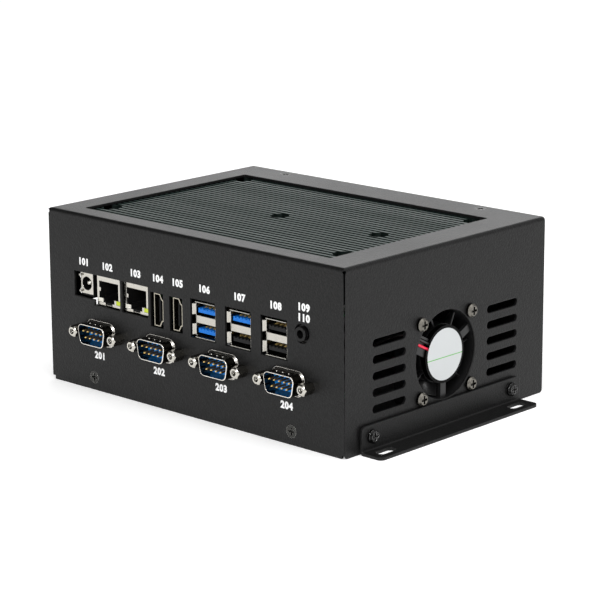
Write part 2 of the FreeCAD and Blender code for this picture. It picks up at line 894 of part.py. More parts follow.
def make_board_sockets():
    # Memory socket with its two arms, coin cell holder and fan header
    half = memory_width / 2
    spine = block(memory_x - half - memory_arm, memory_x + half + memory_arm,
                  memory_y, memory_y + memory_socket_depth,
                  board_under - memory_socket_height, board_under)
    groove = block(memory_x - half, memory_x + half, memory_y - 1,
                   memory_y + memory_socket_depth / 2,
                   board_under - memory_drop - memory_thickness / 2,
                   board_under - memory_drop + memory_thickness / 2)
    arms = [block(memory_x + side * (half + memory_arm / 2 + tray_gap) - memory_arm / 2,
                  memory_x + side * (half + memory_arm / 2 + tray_gap) + memory_arm / 2,
                  memory_y - memory_depth * 0.8, memory_y,
                  board_under - memory_socket_height, board_under) for side in (-1, 1)]
    socket = together([spine] + arms).cut(groove)
    depth = cell_floor + cell_height
    holder = rod(cell_radius + cell_wall, depth, V(cell_x, cell_y, board_under), V(0, 0, -1))
    holder = holder.cut(rod(cell_radius + tray_gap / 2, cell_height,
                            V(cell_x, cell_y, board_under - depth), V(0, 0, 1)))
    header = block(plug_x - plug_width / 2, plug_x + plug_width / 2,
                   plug_y - plug_depth / 2, plug_y + plug_depth / 2,
                   board_under - header_height, board_under)
    pins = [rod(header_pin, header_height + plug_height * 0.7,
                V(plug_x + i * header_pitch, plug_y, board_under), V(0, 0, -1))
            for i in (-1, 0, 1)]
    return Part.makeCompound([socket, holder, together([header] + pins)])


def make_memory_module():
    half = memory_width / 2 - tray_gap / 2
    edge = memory_y + memory_socket_depth / 2
    level = board_under - memory_drop
    board = block(memory_x - half, memory_x + half, edge - memory_depth, edge,
                  level - memory_thickness / 2 + tray_gap / 4,
                  level + memory_thickness / 2 - tray_gap / 4)
    chip = memory_width / 6
    chips = [block(memory_x + (i - 1.5) * 1.4 * chip - chip / 2,
                   memory_x + (i - 1.5) * 1.4 * chip + chip / 2,
                   edge - 0.8 * memory_depth, edge - 0.35 * memory_depth,
                   level - memory_thickness, level) for i in range(4)]
    return together([board] + chips)


def make_coin_cell():
    return rod(cell_radius, cell_height - tray_gap / 2,
               V(cell_x, cell_y, board_under - cell_floor - cell_height), V(0, 0, 1))


def make_drive():
    body = block(drive_x - drive_width / 2, drive_x + drive_width / 2,
                 drive_y - drive_depth / 2, drive_y + drive_depth / 2,
                 sheet, sheet + drive_height)
    body = round_edges_along(body, V(0, 0, 1), drive_corner)
    end = drive_x - drive_width / 2
    mouth = block(end, end + drive_height, drive_y - drive_depth / 4, drive_y + drive_depth / 4,
                  sheet + drive_height * 0.2, sheet + drive_height * 0.8)
    tongue = block(end + 1, end + drive_height, drive_y - drive_depth / 5,
                   drive_y + drive_depth / 5, sheet + drive_height * 0.4,
                   sheet + drive_height * 0.55)
    holes = [rod(thread_radius, press_screw_length, V(x, y, sheet), V(0, 0, 1))
             for x, y in drive_screws]
    return together([body.cut([mouth] + holes), tongue])


# Serial ports
def make_serial_shell(x):
    # The drawn steel shell with its flange, the step at its root and the spring dimples
    y_flange = serial_flange_front
    y_step = y_flange - step_depth
    y_lip = front - shell_reach
    flange = block(x - flange_width / 2, x + flange_width / 2, y_flange,
                   y_flange + flange_thickness,
                   serial_z - flange_height / 2, serial_z + flange_height / 2)
    step = d_prism(shell_width + 2 * base_rim, shell_height + 2 * base_rim,
                   shell_corner + base_rim, y_step, y_flange, x, serial_z)
    skirt = d_prism(shell_width, shell_height, shell_corner, y_lip, y_step, x, serial_z)
    skirt = skirt.makeFillet(shell_lip, [e for e in skirt.Edges
                                         if e.BoundBox.YMax < y_lip + shell_lip])
    root = Part.makeLoft([d_outline(shell_width, shell_height, shell_corner,
                                    y_step - root_depth, x, serial_z),
                          d_outline(shell_width + 2 * root_rim, shell_height + 2 * root_rim,
                                    shell_corner + root_rim, y_step, x, serial_z)],
                         True, True)
    hollow = d_prism(shell_width - 2 * shell_wall, shell_height - 2 * shell_wall,
                     shell_corner - shell_wall, y_lip - 1,
                     y_flange + flange_thickness + 1, x, serial_z)
    dimples = [Part.makeCone(dimple_radius, dimple_radius / 2, dimple_height,
                             V(x + (i - (dimple_count - 1) / 2) * dimple_pitch,
                               y_lip + dimple_setback, serial_z + side * shell_height / 2),
                             V(0, 0, side))
               for i in range(dimple_count) for side in (-1, 1)]
    holes = [rod(jackscrew_stud + port_clearance / 3, 2 * flange_thickness,
                 V(x + side * jackscrew_spacing / 2, y_flange - flange_thickness / 2, serial_z),
                 V(0, 1, 0)) for side in (-1, 1)]
    return together([flange, step, skirt, root] + dimples).cut([hollow] + holes)


def make_serial_insulators():
    blocks = []
    for x in serial_columns:
        inner = shell_wall + tray_gap / 4
        face = d_prism(shell_width - 2 * inner, shell_height - 2 * inner,
                       shell_corner - inner, front, serial_flange_front + flange_thickness,
                       x, serial_z)
        y0 = serial_flange_front + flange_thickness
        rear = block(x - rear_block_width / 2, x + rear_block_width / 2, y0,
                     y0 + rear_block_depth, serial_board_top, serial_z + flange_height * 0.4)
        length = sheet + flange_thickness + rear_block_depth
        bores = [rod(pin_radius, 2 * length, V(px, y0 + rear_block_depth - 1.5 * length, pz),
                     V(0, 1, 0)) for px, pz in pin_places(x)]
        blocks.append(together([face, rear]).cut(bores))
    return Part.makeCompound(blocks)


def pin_places(x):
    # Five pins above, four below
    upper = [(x + (i - 2) * pin_pitch, serial_z + pin_row_gap / 2) for i in range(5)]
    lower = [(x + (i - 1.5) * pin_pitch, serial_z - pin_row_gap / 2) for i in range(4)]
    return upper + lower


def make_serial_pins():
    pins = []
    taper = 2 * pin_radius
    length = pin_reach + sheet + flange_thickness + rear_block_depth - taper
    for x in serial_columns:
        for px, pz in pin_places(x):
            start = V(px, front - pin_reach + taper, pz)
            tip = Part.makeCone(pin_radius, pin_radius * 0.4, taper, start, V(0, -1, 0))
            pins.append(together([tip, rod(pin_radius, length, start, V(0, 1, 0))]))
    return Part.makeCompound(pins)


def make_jackscrews():
    # Hexagon posts with a threaded hole in the face and a stud through the wall
    body = hexagon(jackscrew_flats, jackscrew_reach)
    ball = Part.makeCone(jackscrew_flats, jackscrew_flats * 0.4, jackscrew_flats * 0.6,
                         V(0, 0, jackscrew_reach - jackscrew_flats * 0.6))
    sleeve = rod(jackscrew_flats, jackscrew_reach - jackscrew_flats * 0.6,
                 V(0, 0, 0), V(0, 0, 1))
    body = body.common(ball.fuse(sleeve))
    bore = rod(jackscrew_bore, jackscrew_bore_depth,
               V(0, 0, jackscrew_reach - jackscrew_bore_depth), V(0, 0, 1))
    stud = rod(jackscrew_stud, jackscrew_stud_length, V(0, 0, 0), V(0, 0, -1))
    post = together([body, stud]).cut(bore)
    return Part.makeCompound([
        turned(post, V(0, -1, 0), (x + side * jackscrew_spacing / 2, front, serial_z))
        for x in serial_columns for side in (-1, 1)])


def make_serial_board():
    reach = (serial_count - 1) * serial_pitch / 2 + flange_width / 2
    y0 = serial_flange_front + serial_board_gap
    board = block(serial_x - reach, serial_x + reach, y0, y0 + serial_board_depth,
                  serial_board_under, serial_board_top)
    return board.cut([rod(clear_radius, board_thickness, V(x, standoff_y, serial_board_under),
                          V(0, 0, 1)) for x in serial_gaps])


def make_standoffs():
    height = serial_board_under - sheet
    post = hexagon(pillar_flats, height).cut(rod(thread_radius, height, V(0, 0, 0),
                                                 V(0, 0, 1)))
    return Part.makeCompound([turned(post, V(0, 0, 1), (x, standoff_y, sheet))
                              for x in serial_gaps])


def make_serial_screws():
    screw = pan_screw(standoff_screw_length)
    return Part.makeCompound([turned(screw, V(0, 0, 1), (x, standoff_y, serial_board_top))
                              for x in serial_gaps])


# Network sockets
def network_mouth(x, y0, y1):
    # The plug opening with the notch for its latch below
    high = board_under - network_top_bar
    low = high - network_opening_height
    x = x + network_opening_shift
    opening = block(x - network_opening_width / 2, x + network_opening_width / 2,
                    y0, y1, low, high)
    notch = block(x - latch_width / 2, x + latch_width / 2, y0, y1, low - latch_height, low)
    return opening.fuse(notch)


def light_blocks(x, y0, y1, spread):
    low = board_under - network_height + light_lift
    edge = network_width / 2 - light_inset
    return [block(x - edge - spread, x - edge + light_width + spread, y0, y1,
                  low - spread, low + light_height + spread),
            block(x + edge - light_width - spread, x + edge + spread, y0, y1,
                  low - spread, low + light_height + spread)]


def make_network_shell(x):
    y0 = front + network_setback
    outer = block(x - network_width / 2, x + network_width / 2, y0, y0 + network_depth,
                  board_under - network_height, board_under)
    inner = block(x - network_width / 2 + network_wall, x + network_width / 2 - network_wall,
                  y0 + network_wall, y0 + network_depth + 1,
                  board_under - network_height + network_wall, board_under - network_wall)
    middle = x + network_opening_shift
    split = block(middle - latch_split / 2, middle + latch_split / 2, y0 - 1,
                  y0 + network_wall, board_under - network_height - 1,
                  board_under - network_height / 2)
    edge = middle - network_opening_width / 2
    tab = block(edge, edge + network_tab_width, y0, y0 + network_wall,
                board_under - network_tab_drop - network_tab_height,
                board_under - network_tab_drop)
    cuts = [inner, network_mouth(x, y0 - 1, y0 + 1).cut(tab), split]
    cuts += light_blocks(x, y0 - 1, y0 + 1, tray_gap / 4)
    return outer.cut(cuts)


def make_network_housings():
    housings = []
    for x in network_columns:
        y0 = front + network_setback + network_wall
        reach = network_width / 2 - network_wall
        body = block(x - reach, x + reach, y0, y0 + network_depth - network_wall,
                     board_under - network_height + network_wall,
                     board_under - network_wall)
        cuts = [network_mouth(x, y0 - 1, y0 + network_opening_depth)]
        cuts += light_blocks(x, y0 - 1, y0 + light_depth, 0)
        housings.append(body.cut(cuts))
    return Part.makeCompound(housings)


def make_network_contacts():
    wires = []
    rise = math.tan(math.radians(contact_tilt)) * contact_length
    high = board_under - network_top_bar
    y0 = front + network_setback + 3 * network_wall
    for x in network_columns:
        for i in range(contact_count):
            px = (x + network_opening_shift - contact_width / 2
                  + (i - (contact_count - 1) / 2) * contact_pitch)
            profile = [V(px, y0, high), V(px, y0 + contact_width, high),
                       V(px, y0 + contact_length, high - rise),
                       V(px, y0 + contact_length, high - rise - contact_width)]
            wires.append(prism(profile, V(contact_width, 0, 0)))
    return Part.makeCompound(wires)


def make_network_lights():
    y0 = front + network_setback
    lights = []
    for x in network_columns:
        lights += light_blocks(x, y0, y0 + network_wall + light_depth, -tray_gap / 4)
    return Part.makeCompound(lights)


# Power inlet and audio socket
def make_inlet():
    y0 = front + inlet_setback + inlet_face_thickness
    body = block(inlet_x - inlet_width / 2, inlet_x + inlet_width / 2, y0, y0 + inlet_depth,
                 board_under - inlet_height, board_under)
    return body.cut(rod(inlet_bore, inlet_bore_depth, V(inlet_x, y0, inlet_z), V(0, 1, 0)))


def make_inlet_face():
    # The tin plate over the inlet's face, with two pressed bumps at its left
    y0 = front + inlet_setback
    half = inlet_width / 2
    rise = inlet_face_height / 2
    plate = block(inlet_x - half, inlet_x + half, y0, y0 + inlet_face_thickness,
                  inlet_z - rise, inlet_z + rise)
    bumps = [rod(inlet_bump_radius, inlet_bump_length,
                 V(inlet_x - half + inlet_bump_radius, y0,
                   inlet_z + side * (rise - inlet_bump_inset)), V(0, -1, 0))
             for side in (-1, 1)]
    plate = together([plate] + bumps)
    return plate.cut(rod(inlet_bore, 4 * inlet_face_thickness,
                         V(inlet_x, y0 - 2 * inlet_face_thickness, inlet_z), V(0, 1, 0)))


def make_inlet_pin():
    end = front + inlet_setback + inlet_face_thickness + inlet_bore_depth
    pin = rod(inlet_pin_radius, inlet_pin_length, V(inlet_x, end - inlet_pin_length, inlet_z),
              V(0, 1, 0))
    return pin.makeChamfer(inlet_pin_radius / 3, [e for e in pin.Edges
                           if e.BoundBox.YMax < end - inlet_pin_length + 0.01])


def make_audio_socket():
    wall_face = front + sheet + port_clearance
    body = block(audio_x - audio_width / 2, audio_x + audio_width / 2, wall_face,
                 wall_face + audio_depth, board_under - 2 * audio_drop, board_under)
    nose_face = front - audio_proud
    nose = rod(audio_nose, wall_face - nose_face, V(audio_x, nose_face, audio_z), V(0, 1, 0))
    bore = rod(audio_bore, audio_bore_depth, V(audio_x, nose_face, audio_z), V(0, 1, 0))
    return together([body, nose]).cut(bore)


# Video sockets
def video_outline(x, y, inset):
    half = video_width / 2 - inset
    top = video_top - inset
    low = video_top - video_height + inset
    return [V(x - half, y, low), V(x - half, y, top), V(x + half - video_shoulder_x, y, top),
            V(x + half - video_waist_x, y, top - video_waist_z),
            V(x + half, y, top - video_shoulder_z), V(x + half, y, low + video_shoulder_z),
            V(x + half - video_waist_x, y, low + video_waist_z),
            V(x + half - video_shoulder_x, y, low)]


def make_video_shells():
    shells = []
    y0 = front + video_setback
    for x in video_columns:
        outer = prism(video_outline(x, y0, 0), V(0, video_depth, 0))
        inner = prism(video_outline(x, y0 - 1, video_wall), V(0, video_depth + 2, 0))
        shells.append(outer.cut(inner))
    return Part.makeCompound(shells)


def make_video_housings():
    # The moulded back that stands on the board, with the contact tongue in front
    housings = []
    y0 = front + video_setback
    y1 = y0 + video_depth
    middle = video_top - video_height / 2
    for x in video_columns:
        plug = prism(video_outline(x, y1 - video_depth / 3, video_wall + tray_gap / 4),
                     V(0, video_depth / 3, 0))
        rear = block(x - video_width / 2, x + video_width / 2, y1, y1 + video_depth / 3,
                     video_top - video_height, board_under)
        tongue = block(x - video_tongue / 2, x + video_tongue / 2, y0 + 2 * video_wall,
                       y1 - video_depth / 4, middle - video_tongue_height / 2,
                       middle + video_tongue_height / 2)
        housings.append(together([plug, rear, tongue]))
    return Part.makeCompound(housings)


# Stacked bus sockets
def stacked_levels():
    # Lower edge of the upper and of the lower opening
    upper = stacked_top - stacked_wall - stacked_opening
    lower = stacked_top - stacked_height + stacked_wall
    return upper, lower


def make_stacked_lips(x):
    # Lips that guide the plug in: flared on the left, above and below, straight on the right
    y0 = front + stacked_setback
    y1 = y0 - lip_reach
    left = x - stacked_width / 2
    right = x + stacked_width / 2
    low = stacked_top - stacked_height
    profile = [V(left, y0, 0), V(left + stacked_wall, y0, 0),
               V(left + stacked_wall - lip_flare, y1, 0), V(left - lip_flare, y1, 0)]
    lips = []
    for z in stacked_levels():
        rise = V(0, 0, z + lip_corner / 2)
        tall = V(0, 0, stacked_opening - lip_corner)
        lips.append(prism([p + rise for p in profile], tall))
        lips.append(block(right - stacked_wall, right, y1, y0, z + lip_corner / 2,
                          z + stacked_opening - lip_corner / 2))
    for z, inner, outer in ((stacked_top, -stacked_wall, lip_rise),
                            (low, stacked_wall, -lip_drop)):
        points = [V(left + lip_corner, y0, z), V(left + lip_corner, y0, z + inner),
                  V(left + lip_corner, y1, z + inner + outer),
                  V(left + lip_corner, y1, z + outer)]
        lips.append(prism(points, V(stacked_width - 2 * lip_corner, 0, 0)))
    return lips


def make_stacked_shell(x):
    y0 = front + stacked_setback
    half = stacked_width / 2
    outer = block(x - half, x + half, y0, y0 + stacked_depth,
                  stacked_top - stacked_height, stacked_top)
    legs = [block(x + side * (half - stacked_wall / 2) - stacked_wall / 2,
                  x + side * (half - stacked_wall / 2) + stacked_wall / 2,
                  y, y + stacked_leg, stacked_top, board_under)
            for side in (-1, 1) for y in (y0 + stacked_leg, y0 + stacked_depth - stacked_leg)]
    cuts = [block(x - half + stacked_wall, x + half - stacked_wall, y0 - 1,
                  y0 + stacked_opening_depth + 1, z, z + stacked_opening)
            for z in stacked_levels()]
    cuts.append(block(x - half + stacked_wall, x + half - stacked_wall,
                      y0 + stacked_opening_depth, y0 + stacked_depth + 1,
                      stacked_top - stacked_height + stacked_wall,
                      stacked_top - stacked_wall))
    upper, lower = stacked_levels()
    cuts.append(block(x - half + stacked_wall, x + half - stacked_wall, y0 + stacked_wall,
                      y0 + stacked_opening_depth + 1, lower + stacked_opening + stacked_wall,
                      upper - stacked_wall))
    return together([outer.cut(cuts)] + legs + make_stacked_lips(x))


def make_tongue(x, upper):
    # The moulded tongue with the block behind it that fills the shell
    y0 = front + stacked_setback
    top_level, low_level = stacked_levels()
    z = top_level if upper else low_level
    middle = (top_level + low_level + stacked_opening) / 2
    reach = stacked_width / 2 - stacked_wall - tray_gap / 4
    rear_low = middle if upper else low_level + tray_gap / 4
    rear_high = stacked_top - stacked_wall - tray_gap / 4 if upper else middle
    rear = block(x - reach, x + reach, y0 + stacked_opening_depth + tray_gap / 4,
                 y0 + stacked_depth, rear_low, rear_high)
    low = z + tongue_floor_gap
    tongue = block(x - tongue_width / 2, x + tongue_width / 2, y0 + tongue_setback,
                   y0 + stacked_opening_depth + 1, low, low + tongue_thickness)
    notches = []
    for i in range(notch_count):
        px = x + (i - (notch_count - 1) / 2) * notch_pitch
        notches.append(block(px - notch_width / 2, px + notch_width / 2,
                             y0 + tongue_setback - 1, y0 + tongue_setback + notch_depth,
                             low + tongue_thickness - notch_height, low + tongue_thickness + 1))
    return together([rear, tongue.cut(notches)])


def tongue_places():
    # Column, level, and whether the tongue is one of the blue fast ones
    fast = [(0, True), (0, False), (1, True)]
    return [(x, upper, (i, upper) in fast)
            for i, x in enumerate(stacked_columns) for upper in (True, False)]


def make_tongues(wanted):
    return Part.makeCompound([make_tongue(x, upper)
                              for x, upper, fast in tongue_places() if fast == wanted])


def make_pads():
    # Sprung contacts, each with a crest above the tongue
    pads = []
    y0 = front + stacked_setback + tongue_setback + pad_setback
    upper_level, lower_level = stacked_levels()
    for x, upper, fast in tongue_places():
        z = (upper_level if upper else lower_level) + tongue_floor_gap + tongue_thickness
        for i in range(4):
            px = x + (i - 1.5) * pad_pitch - pad_width / 2
            profile = [V(px, y0, z), V(px, y0 + pad_slope, z + pad_height),
                       V(px, y0 + pad_slope + pad_crest, z + pad_height),
                       V(px, y0 + pad_length, z)]
            pads.append(prism(profile, V(pad_width, 0, 0)))
    return Part.makeCompound(pads)


# Cooling fan: everything is set along -X from the inner face of the right wall
def fan_point(inward, radius, degrees):
    angle = math.radians(degrees)
    return V(wall_in - inward, fan_y + radius * math.cos(angle),
             fan_z + radius * math.sin(angle))


def fan_disc(radius, start, end):
    return rod(radius, end - start, V(wall_in - start, fan_y, fan_z), V(-1, 0, 0))


def fan_bar(width, start, end, r0, r1, degrees, shift=0):
    # A straight bar from radius r0 to r1 at an angle round the fan's axis
    bar = block(wall_in - end, wall_in - start, fan_y + r0, fan_y + r1,
                fan_z + shift - width / 2, fan_z + shift + width / 2)
    bar.rotate(V(0, fan_y, fan_z), V(1, 0, 0), degrees)
    return bar


tube_start = fan_hub_thickness / 2
tube_radius = bearing_radius + bearing_tube_wall
rotor_start = strut_thickness + 0.2 + rotor_back_gap
rotor_end = fan_depth - rotor_back_gap
magnet_radius = cup_radius - cup_wall


def make_fan_frame():
    half = fan_size / 2
    frame = block(wall_in - fan_depth, wall_in, fan_y - half, fan_y + half,
                  fan_z - half, fan_z + half)
    frame = round_edges_along(frame, V(1, 0, 0), fan_corner)
    holes = [rod(clear_radius, fan_depth, V(wall_in, y, z), V(-1, 0, 0)) for y, z in fan_holes]
    frame = frame.cut([fan_disc(fan_bore, 0, fan_depth)] + holes)
    struts = [fan_bar(strut_width, 0.2, 0.2 + strut_thickness, fan_hub_radius - 1,
                      fan_bore + 0.5, angle) for angle in strut_angles]
    struts.append(fan_bar(lead_strut_width, 0.2, 0.2 + strut_thickness, fan_hub_radius - 3,
                          fan_bore + 0.5, lead_strut_angle, lead_strut_shift))
    hub = fan_disc(fan_hub_radius, -fan_hub_proud, fan_hub_thickness)
    tube = fan_disc(tube_radius, tube_start, tube_start + bearing_length)
    frame = together([frame, hub, tube] + struts)
    channel = fan_bar(lead_spacing + 2 * (lead_radius + lead_clearance), -fan_hub_proud,
                      lead_channel_depth, lead_start_radius, fan_size, lead_strut_angle)
    bore = fan_disc(bearing_radius, tube_start, tube_start + bearing_length)
    return frame.cut([channel, bore])


def make_fan_bearing():
    sleeve = fan_disc(bearing_radius, tube_start, tube_start + bearing_length)
    return sleeve.cut(fan_disc(shaft_radius + shaft_clearance, tube_start,
                               tube_start + bearing_length))


def make_fan_stator():
    # Iron core with wound teeth, round the bearing tube
    start = fan_hub_thickness + 0.4
    core = fan_disc(tube_radius + stator_core / 2, start, start + stator_height)
    teeth = [fan_bar(stator_core, start, start + stator_height, tube_radius, stator_radius,
                     45 + i * 360 / stator_teeth) for i in range(stator_teeth)]
    ring = fan_disc(stator_radius, start, start + stator_height)
    return together([core] + teeth).common(ring).cut(
        fan_disc(tube_radius, start, start + stator_height))


def make_fan_magnet():
    ring = fan_disc(magnet_radius, rotor_start, rotor_end - cup_cap)
    return ring.cut(fan_disc(magnet_radius - magnet_thickness, rotor_start,
                             rotor_end - cup_cap))


def blade_section(radius, chord, lean):
    # Two arcs and two short ends, in the plane square to the radius
    span = rotor_end - rotor_start
    across = math.sqrt(max(chord ** 2 - span ** 2, 4))
    low = (rotor_start, lean - across / 2)
    high = (rotor_end, lean + across / 2)
    middle = ((low[0] + high[0]) / 2, (low[1] + high[1]) / 2)
    normal = (across / chord, -span / chord)
    corners = []
    for shift in (-blade_thickness / 2, blade_thickness / 2):
        for place, extra in ((low, 0), (middle, blade_camber), (high, 0)):
            offset = shift + extra
            corners.append(V(wall_in - place[0] - normal[0] * offset, fan_y + radius,
                             fan_z + place[1] + normal[1] * offset))
    lower = Part.Arc(corners[0], corners[1], corners[2]).toShape()
    upper = Part.Arc(corners[5], corners[4], corners[3]).toShape()
    return Part.Wire([lower, Part.makeLine(corners[2], corners[5]), upper,
                      Part.makeLine(corners[3], corners[0])])


def make_fan_rotor():
    cup = fan_disc(cup_radius, rotor_start, rotor_end).cut(
        fan_disc(magnet_radius, rotor_start, rotor_end - cup_cap))
    boss = fan_disc(2 * shaft_radius, tube_start + bearing_length + cup_clearance, rotor_end)
    tip = fan_bore - blade_tip_gap
    sections = [blade_section(cup_radius - cup_wall / 2, blade_root_chord, 0),
                blade_section(tip + 1, blade_tip_chord, 1)]
    blade = Part.makeLoft(sections, True, True)
    reach = fan_disc(tip, rotor_start, rotor_end)
    blade = blade.common(reach.cut(fan_disc(cup_radius - cup_wall / 2, rotor_start,
                                            rotor_end)))
    blade = blade.mirror(V(0, fan_y, fan_z), V(0, 0, 1))
    blades = []
    for i in range(blade_count):
        copy = blade.copy()
        copy.rotate(V(0, fan_y, fan_z), V(1, 0, 0), i * 360 / blade_count)
        blades.append(copy)
    hole = fan_disc(shaft_radius, 0, rotor_end - cup_cap / 2)
    return together([cup, boss] + blades).cut(hole)


def make_fan_shaft():
    return fan_disc(shaft_radius, tube_start + cup_clearance, rotor_end - cup_cap / 2)


def make_fan_screws():
    screw = pan_screw(fan_screw_length)
    return Part.makeCompound([turned(screw, V(1, 0, 0), (half_width, y, z))
                              for y, z in fan_holes])


# Fan leads: straight runs joined by tangent arcs
def lead_route(side):
    # From the hub along the strut, out past the frame, and up into the plug from below
    angle = lead_strut_angle
    across = V(0, -math.sin(math.radians(angle)), math.cos(math.radians(angle)))
    shift = across * (side * lead_spacing / 2)
    start = fan_point(lead_channel_depth / 2, lead_start_radius, angle) + shift
    edge = fan_point(lead_channel_depth / 2, lead_edge_radius, angle) + shift
    inside = edge + V(-lead_inward, -lead_forward, -lead_sink - side * lead_stagger)
    end = V(plug_x - side * header_pitch, plug_y, board_under - header_height - plug_height)
    below = end - V(0, 0, lead_loop + 2 * side * lead_stagger)
    return [start, edge, inside, below, end]


def make_lead(side):
    points = lead_route(side)
    edges = []
    last = points[0]
    for before, corner, after in zip(points, points[1:], points[2:]):
        run_in = corner - before
        run_out = after - corner
        cut = 0.45 * min(run_in.Length, run_out.Length)
        turn = run_in.getAngle(run_out)
        arc_in = corner - run_in.normalize() * cut
        arc_out = corner + run_out.normalize() * cut
        radius = cut / math.tan(turn / 2)
        inward = (arc_in + arc_out) * 0.5 - corner
        bulge = radius / math.cos(turn / 2) - radius
        halfway = corner + inward.normalize() * bulge
        edges.append(Part.makeLine(last, arc_in))
        edges.append(Part.Arc(arc_in, halfway, arc_out).toShape())
        print("lead arc radius %.1f mm" % radius)
        last = arc_out
    edges.append(Part.makeLine(last, points[-1]))
    path = Part.Wire(edges)
    ring = Part.Wire(Part.makeCircle(lead_radius, points[0], points[1] - points[0]))
    tube = path.makePipeShell([ring], True, False)
    expected = math.pi * lead_radius ** 2 * path.Length
    print("lead %.1f mm long, volume share %.3f" % (path.Length, tube.Volume / expected))
    return tube


def make_plug():
    top = board_under - header_height
    body = block(plug_x - plug_width / 2, plug_x + plug_width / 2,
                 plug_y - plug_depth / 2, plug_y + plug_depth / 2, top - plug_height, top)
    bores = [rod(header_pin + tray_gap / 4, plug_height,
                 V(plug_x + i * header_pitch, plug_y, top), V(0, 0, -1)) for i in (-1, 0, 1)]
    wells = [rod(header_pin, plug_height * 0.72,
                 V(plug_x + i * header_pitch, plug_y, top), V(0, 0, -1)) for i in (-1, 0, 1)]
    key = block(plug_x - 1, plug_x + 1, plug_y + plug_depth / 2, plug_y + plug_depth / 2 + 1,
                top - plug_height, top - plug_height * 0.4)
    return together([body, key]).cut([wells[1]] + [bores[0], bores[2]])


# Power button and lamps
def make_button_body():
    # A round flange outside the wall and a threaded barrel inside
    flange = rod(button_flange_radius, button_flange_height, V(button_x, back, button_z),
                 V(0, 1, 0))
    rim = [e for e in flange.Edges if e.BoundBox.YMin > back + button_flange_height - 0.01]
    flange = flange.makeChamfer(button_flange_height / 3, rim)
    barrel = rod(button_barrel_radius, button_barrel_length, V(button_x, back, button_z),
                 V(0, -1, 0))
    depth = button_cap_length - button_cap_proud + button_travel + button_flange_height
    well = rod(button_cap_radius + button_fit, depth,
               V(button_x, back + button_flange_height, button_z), V(0, -1, 0))
    return together([flange, barrel]).cut(well)


def make_button_cap():
    face = back + button_flange_height + button_cap_proud
    cap = rod(button_cap_radius, button_cap_length, V(button_x, face, button_z), V(0, -1, 0))
    rim = [e for e in cap.Edges if e.BoundBox.YMin > face - 0.01]
    return cap.makeFillet(button_cap_proud / 4, rim)


def make_button_nut():
    nut = threaded_nut(button_nut_flats, button_nut_height,
                       button_barrel_radius + tray_gap / 4)
    return turned(nut, V(0, -1, 0), (button_x, back - sheet, button_z))


def make_lamps():
    lamps = []
    for x in lamp_columns:
        stem = rod(lamp_radius, lamp_length, V(x, back + lamp_proud, button_z), V(0, -1, 0))
        rim = [e for e in stem.Edges if e.BoundBox.YMin > back + lamp_proud - 0.01]
        stem = stem.makeFillet(lamp_proud, rim)
        collar = rod(lamp_radius + lamp_collar, lamp_collar, V(x, back - sheet, button_z),
                     V(0, -1, 0))
        lamps.append(together([stem, collar]))
    return Part.makeCompound(lamps)


def build_all():
    nodes = {
        "cover": make_cover(),
        "bottom_plate": make_tray(),
        "countersunk_screws": make_sunk_screws(),
        "press_nuts": make_press_nuts(),
        "right_bracket": make_bracket(1),
        "left_bracket": make_bracket(-1),
        "bracket_screws": make_bracket_screws(),
        "heatsink": make_heatsink(),
        "heatsink_screws": make_heatsink_screws(),
        "board_spacers": make_spacers(),
        "board_pillars": make_pillars(),
        "hex_nuts": make_hex_nuts(),
        "mainboard": make_mainboard(),
        "processor": make_processor(),
        "heat_plate": make_heat_plate(),
        "board_sockets": make_board_sockets(),
        "memory_module": make_memory_module(),
        "coin_cell": make_coin_cell(),
        "drive": make_drive(),
        "serial_board": make_serial_board(),
        "serial_standoffs": make_standoffs(),
        "serial_screws": make_serial_screws(),
        "serial_insulators": make_serial_insulators(),
        "serial_pins": make_serial_pins(),
        "jackscrews": make_jackscrews(),
        "network_housings": make_network_housings(),
        "network_contacts": make_network_contacts(),
        "network_lights": make_network_lights(),
        "power_inlet": make_inlet(),
        "inlet_face": make_inlet_face(),
        "inlet_pin": make_inlet_pin(),
        "audio_socket": make_audio_socket(),
        "video_shells": make_video_shells(),
        "video_housings": make_video_housings(),
        "blue_tongues": make_tongues(True),
        "black_tongues": make_tongues(False),
        "tongue_contacts": make_pads(),
        "fan_frame": make_fan_frame(),
        "fan_rotor": make_fan_rotor(),
        "fan_shaft": make_fan_shaft(),
        "fan_magnet": make_fan_magnet(),
        "fan_stator": make_fan_stator(),
        "fan_bearing": make_fan_bearing(),
        "fan_screws": make_fan_screws(),
        "red_lead": make_lead(1),
        "black_lead": make_lead(-1),
        "lead_plug": make_plug(),
        "button_body": make_button_body(),
        "button_cap": make_button_cap(),
        "button_nut": make_button_nut(),
        "status_lights": make_lamps(),
    }
    for i, x in enumerate(serial_columns):
        nodes["serial_shell_%d" % (i + 1)] = make_serial_shell(x)
    for i, x in enumerate(network_columns):
        nodes["network_shell_%d" % (i + 1)] = make_network_shell(x)
    for i, x in enumerate(stacked_columns):
        nodes["stacked_shell_%d" % (i + 1)] = make_stacked_shell(x)
    return nodes


os.makedirs("parts", exist_ok=True)
for name, shape in build_all().items():
    shape.exportStep("parts/%s.step" % name)
